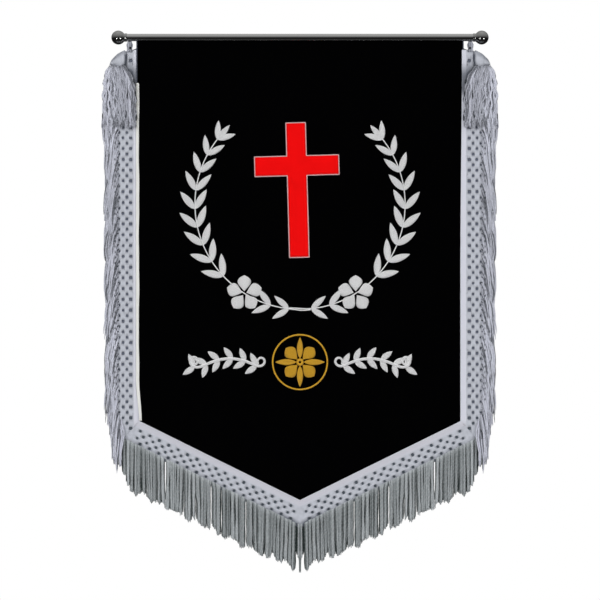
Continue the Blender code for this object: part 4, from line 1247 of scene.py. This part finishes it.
gold = (satin_stitch("gold_satin_stitch", GOLD_THREAD, GOLD_SHADE), "gold_stitching")
shapes = [
    flower(ROSETTE, 4, math.radians(45), PETAL_START, *WIDE_PETAL, point=1.4, height=0.0018, cleft=0.15),
    flower(ROSETTE, 4, 0, PETAL_START, *NARROW_PETAL, point=0.9, height=0.0014, cleft=0.4),
]
stitched_piece("stitched_rosette", shapes, *gold)
turn = np.linspace(0, math.tau, RING_POINTS)
for radius, half_thick, name in RINGS:
    x, z = ROSETTE[0] + radius * np.cos(turn), ROSETTE[1] + radius * np.sin(turn)
    stitched_line("rosette_ring_" + name, x, z, half_thick, *gold, proud=0.0008, stitch=0.0025)

# The scrolls: a white stitched vine on each side of the rosette, which curls at both ends and carries
# small leaves.

SCROLL_START, SCROLL_END = 0.066, 0.205
VINE_STEPS = 140
# The vine's steps that carry leaves (first, end, every how many), and how far the leaves lean from it
VINE_LEAVES, VINE_LEAN = (34, 112, 13), 0.85
# Length and width of its leaves
VINE_LEAF = (0.027, 0.0115)

share = np.linspace(0, 1, VINE_STEPS)
way = 5.2 * (eased(share, 0.0, 0.28) - 1) + 6.4 * eased(share, 0.62, 1.0) ** 1.2
way = way + 0.45 * np.sin(math.tau * share * 1.1)
step = 0.34 * (0.35 + 0.65 * np.sin(math.pi * share) ** 0.6) / VINE_STEPS
x, z = np.cumsum(step * np.cos(way)), np.cumsum(step * np.sin(way))
vine_x = SCROLL_START + (x - x.min()) / (x.max() - x.min()) * (SCROLL_END - SCROLL_START)
vine_z = ROSETTE[1] + (z - (z.max() + z.min()) / 2) * 0.8
thick = 0.0018 + 0.0009 * np.sin(math.pi * share)
pick = np.arange(*VINE_LEAVES)
onward = np.arctan2(np.gradient(vine_z)[pick], np.gradient(vine_x)[pick])
for side, name in SIDES:
    stitched_line("stitched_vine_" + name, side * vine_x, vine_z, thick, *white, proud=0.0007, stitch=0.0014)
    shapes = [
        leaves(side * vine_x[pick], vine_z[pick], facing(side, onward + lean), *VINE_LEAF)
        for lean in (-VINE_LEAN, VINE_LEAN)
    ]
    stitched_piece("scroll_leaves_" + name, shapes, *white)

# The studio: a pale round floor well below the hanging banner, a white backdrop of light, soft lamps, and a
# long lens level with the banner's middle.

FLOOR_DROP = 1.95
FLOOR_RADIUS = 2.6
FLOOR_RINGS, FLOOR_SIDES = 12, 64
FLOOR_COLOUR = (0.86, 0.86, 0.86, 1)
FLOOR_SHADE = (0.80, 0.80, 0.80, 1)
VIEW_WIDTH = 1.1196
VIEW_DISTANCE = 4.0
VIEW_HEIGHT = -0.4966
SENSOR = 36.0
# What the chrome mirrors, from straight below to straight above
MIRRORED = (
    (0.00, 0.09), (0.03, 0.045), (0.10, 0.022), (0.26, 0.010), (0.46, 0.014), (0.53, 0.10), (0.62, 0.19),
    (0.78, 0.38), (0.92, 0.46), (1.00, 0.60),
)
# Each soft lamp: name, place, size, watts. All of them point at the target
SOFT_LAMPS = (
    ("front_left_light", (-1.8, -3.0, 1.6), 1.6, 76),
    ("front_right_light", (2.2, -2.8, 0.9), 1.8, 44),
    ("front_low_light", (0.2, -3.4, -1.5), 1.6, 18),
    ("back_left_light", (-1.8, 3.0, 1.4), 2.0, 36),
    ("back_right_light", (2.0, 3.0, 0.6), 2.0, 30),
)
SOFT_TARGET = (0, 0, -0.5)
# Two small lamps that only the chrome shows
SPARKLES = (("sparkle_left", (-1.76, -3.28, -1.44)), ("sparkle_right", (2.32, -2.92, -1.40)))
SPARKLE_SIZE, SPARKLE_WATTS = 0.38, 60

nodes, surface = finish("pale_floor", {"Roughness": 0.9, "Specular IOR Level": 0.1})
grain = nodes.noise(8, nodes.place(), detail=5.0)
floor_material = surface(Base_Color=nodes.mix(grain * 0.15, FLOOR_COLOUR, FLOOR_SHADE))
radius = np.linspace(0.001, FLOOR_RADIUS, FLOOR_RINGS)[:, None]
turn = np.linspace(0, math.tau, FLOOR_SIDES, endpoint=False)[None, :]
points = np.stack([radius * np.cos(turn), radius * np.sin(turn), -FLOOR_DROP + 0 * radius * turn], -1)
faces = [*grid_quads(FLOOR_RINGS, FLOOR_SIDES, round_columns=True), np.arange(FLOOR_SIDES)]
floor_mesh = bpy.data.meshes.new("floor")
floor_mesh.from_pydata(points.reshape(-1, 3).tolist(), [], [list(f) for f in faces])
floor_mesh.materials.append(floor_material)
floor = bpy.data.objects.new("floor", floor_mesh)
bpy.context.collection.objects.link(floor)
floor.visible_glossy = False

world = bpy.data.worlds.new("studio_light")
world.use_nodes = True
bpy.context.scene.world = world
sky = Nodes(world.node_tree)
height = sky.parts_of(sky.node("ShaderNodeTexCoord", out="Generated"))[2]
stops = [(place, (light, light, light, 1)) for place, light in MIRRORED]
mirrored = sky.node("ShaderNodeValToRGB", {"stops": stops}, {"Fac": height * 0.5 + 0.5})
seen = sky.node("ShaderNodeLightPath", out="Is Camera Ray")
ground_light = sky.node("ShaderNodeBackground", {}, {"Color": mirrored, "Strength": 1.0})
backdrop = sky.node("ShaderNodeBackground", {}, {"Color": (1, 1, 1, 1), "Strength": 1.0})
light = sky.node("ShaderNodeMixShader", {}, {0: seen, 1: ground_light, 2: backdrop})
sky.node("ShaderNodeOutputWorld", {}, {"Surface": light})


def lamp(name, place, target, size, watts, kind="AREA"):
    """A lamp that points at a target."""
    data = bpy.data.lights.new(name, kind)
    data.energy = watts
    if kind == "AREA":
        data.size = size
    else:
        data.shadow_soft_size = size
    made = bpy.data.objects.new(name, data)
    made.location = place
    x, y, z = np.subtract(target, place)
    made.rotation_euler = (math.atan2(z, math.hypot(x, y)) + math.pi / 2, 0, math.atan2(y, x) - math.pi / 2)
    bpy.context.collection.objects.link(made)
    return made


for name, place, size, watts in SOFT_LAMPS:
    lamp(name, place, SOFT_TARGET, size, watts).visible_glossy = False
for name, place in SPARKLES:
    lamp(name, place, (0, 0, 0), SPARKLE_SIZE, SPARKLE_WATTS, "POINT").visible_diffuse = False

camera = bpy.data.cameras.new("camera")
camera.sensor_width = SENSOR
camera.lens = SENSOR * VIEW_DISTANCE / VIEW_WIDTH
viewer = bpy.data.objects.new("camera", camera)
viewer.location = (0, -VIEW_DISTANCE, VIEW_HEIGHT)
viewer.rotation_euler = (math.pi / 2, 0, 0)
bpy.context.collection.objects.link(viewer)
bpy.context.scene.camera = viewer
bpy.context.scene.view_settings.view_transform = "Standard"
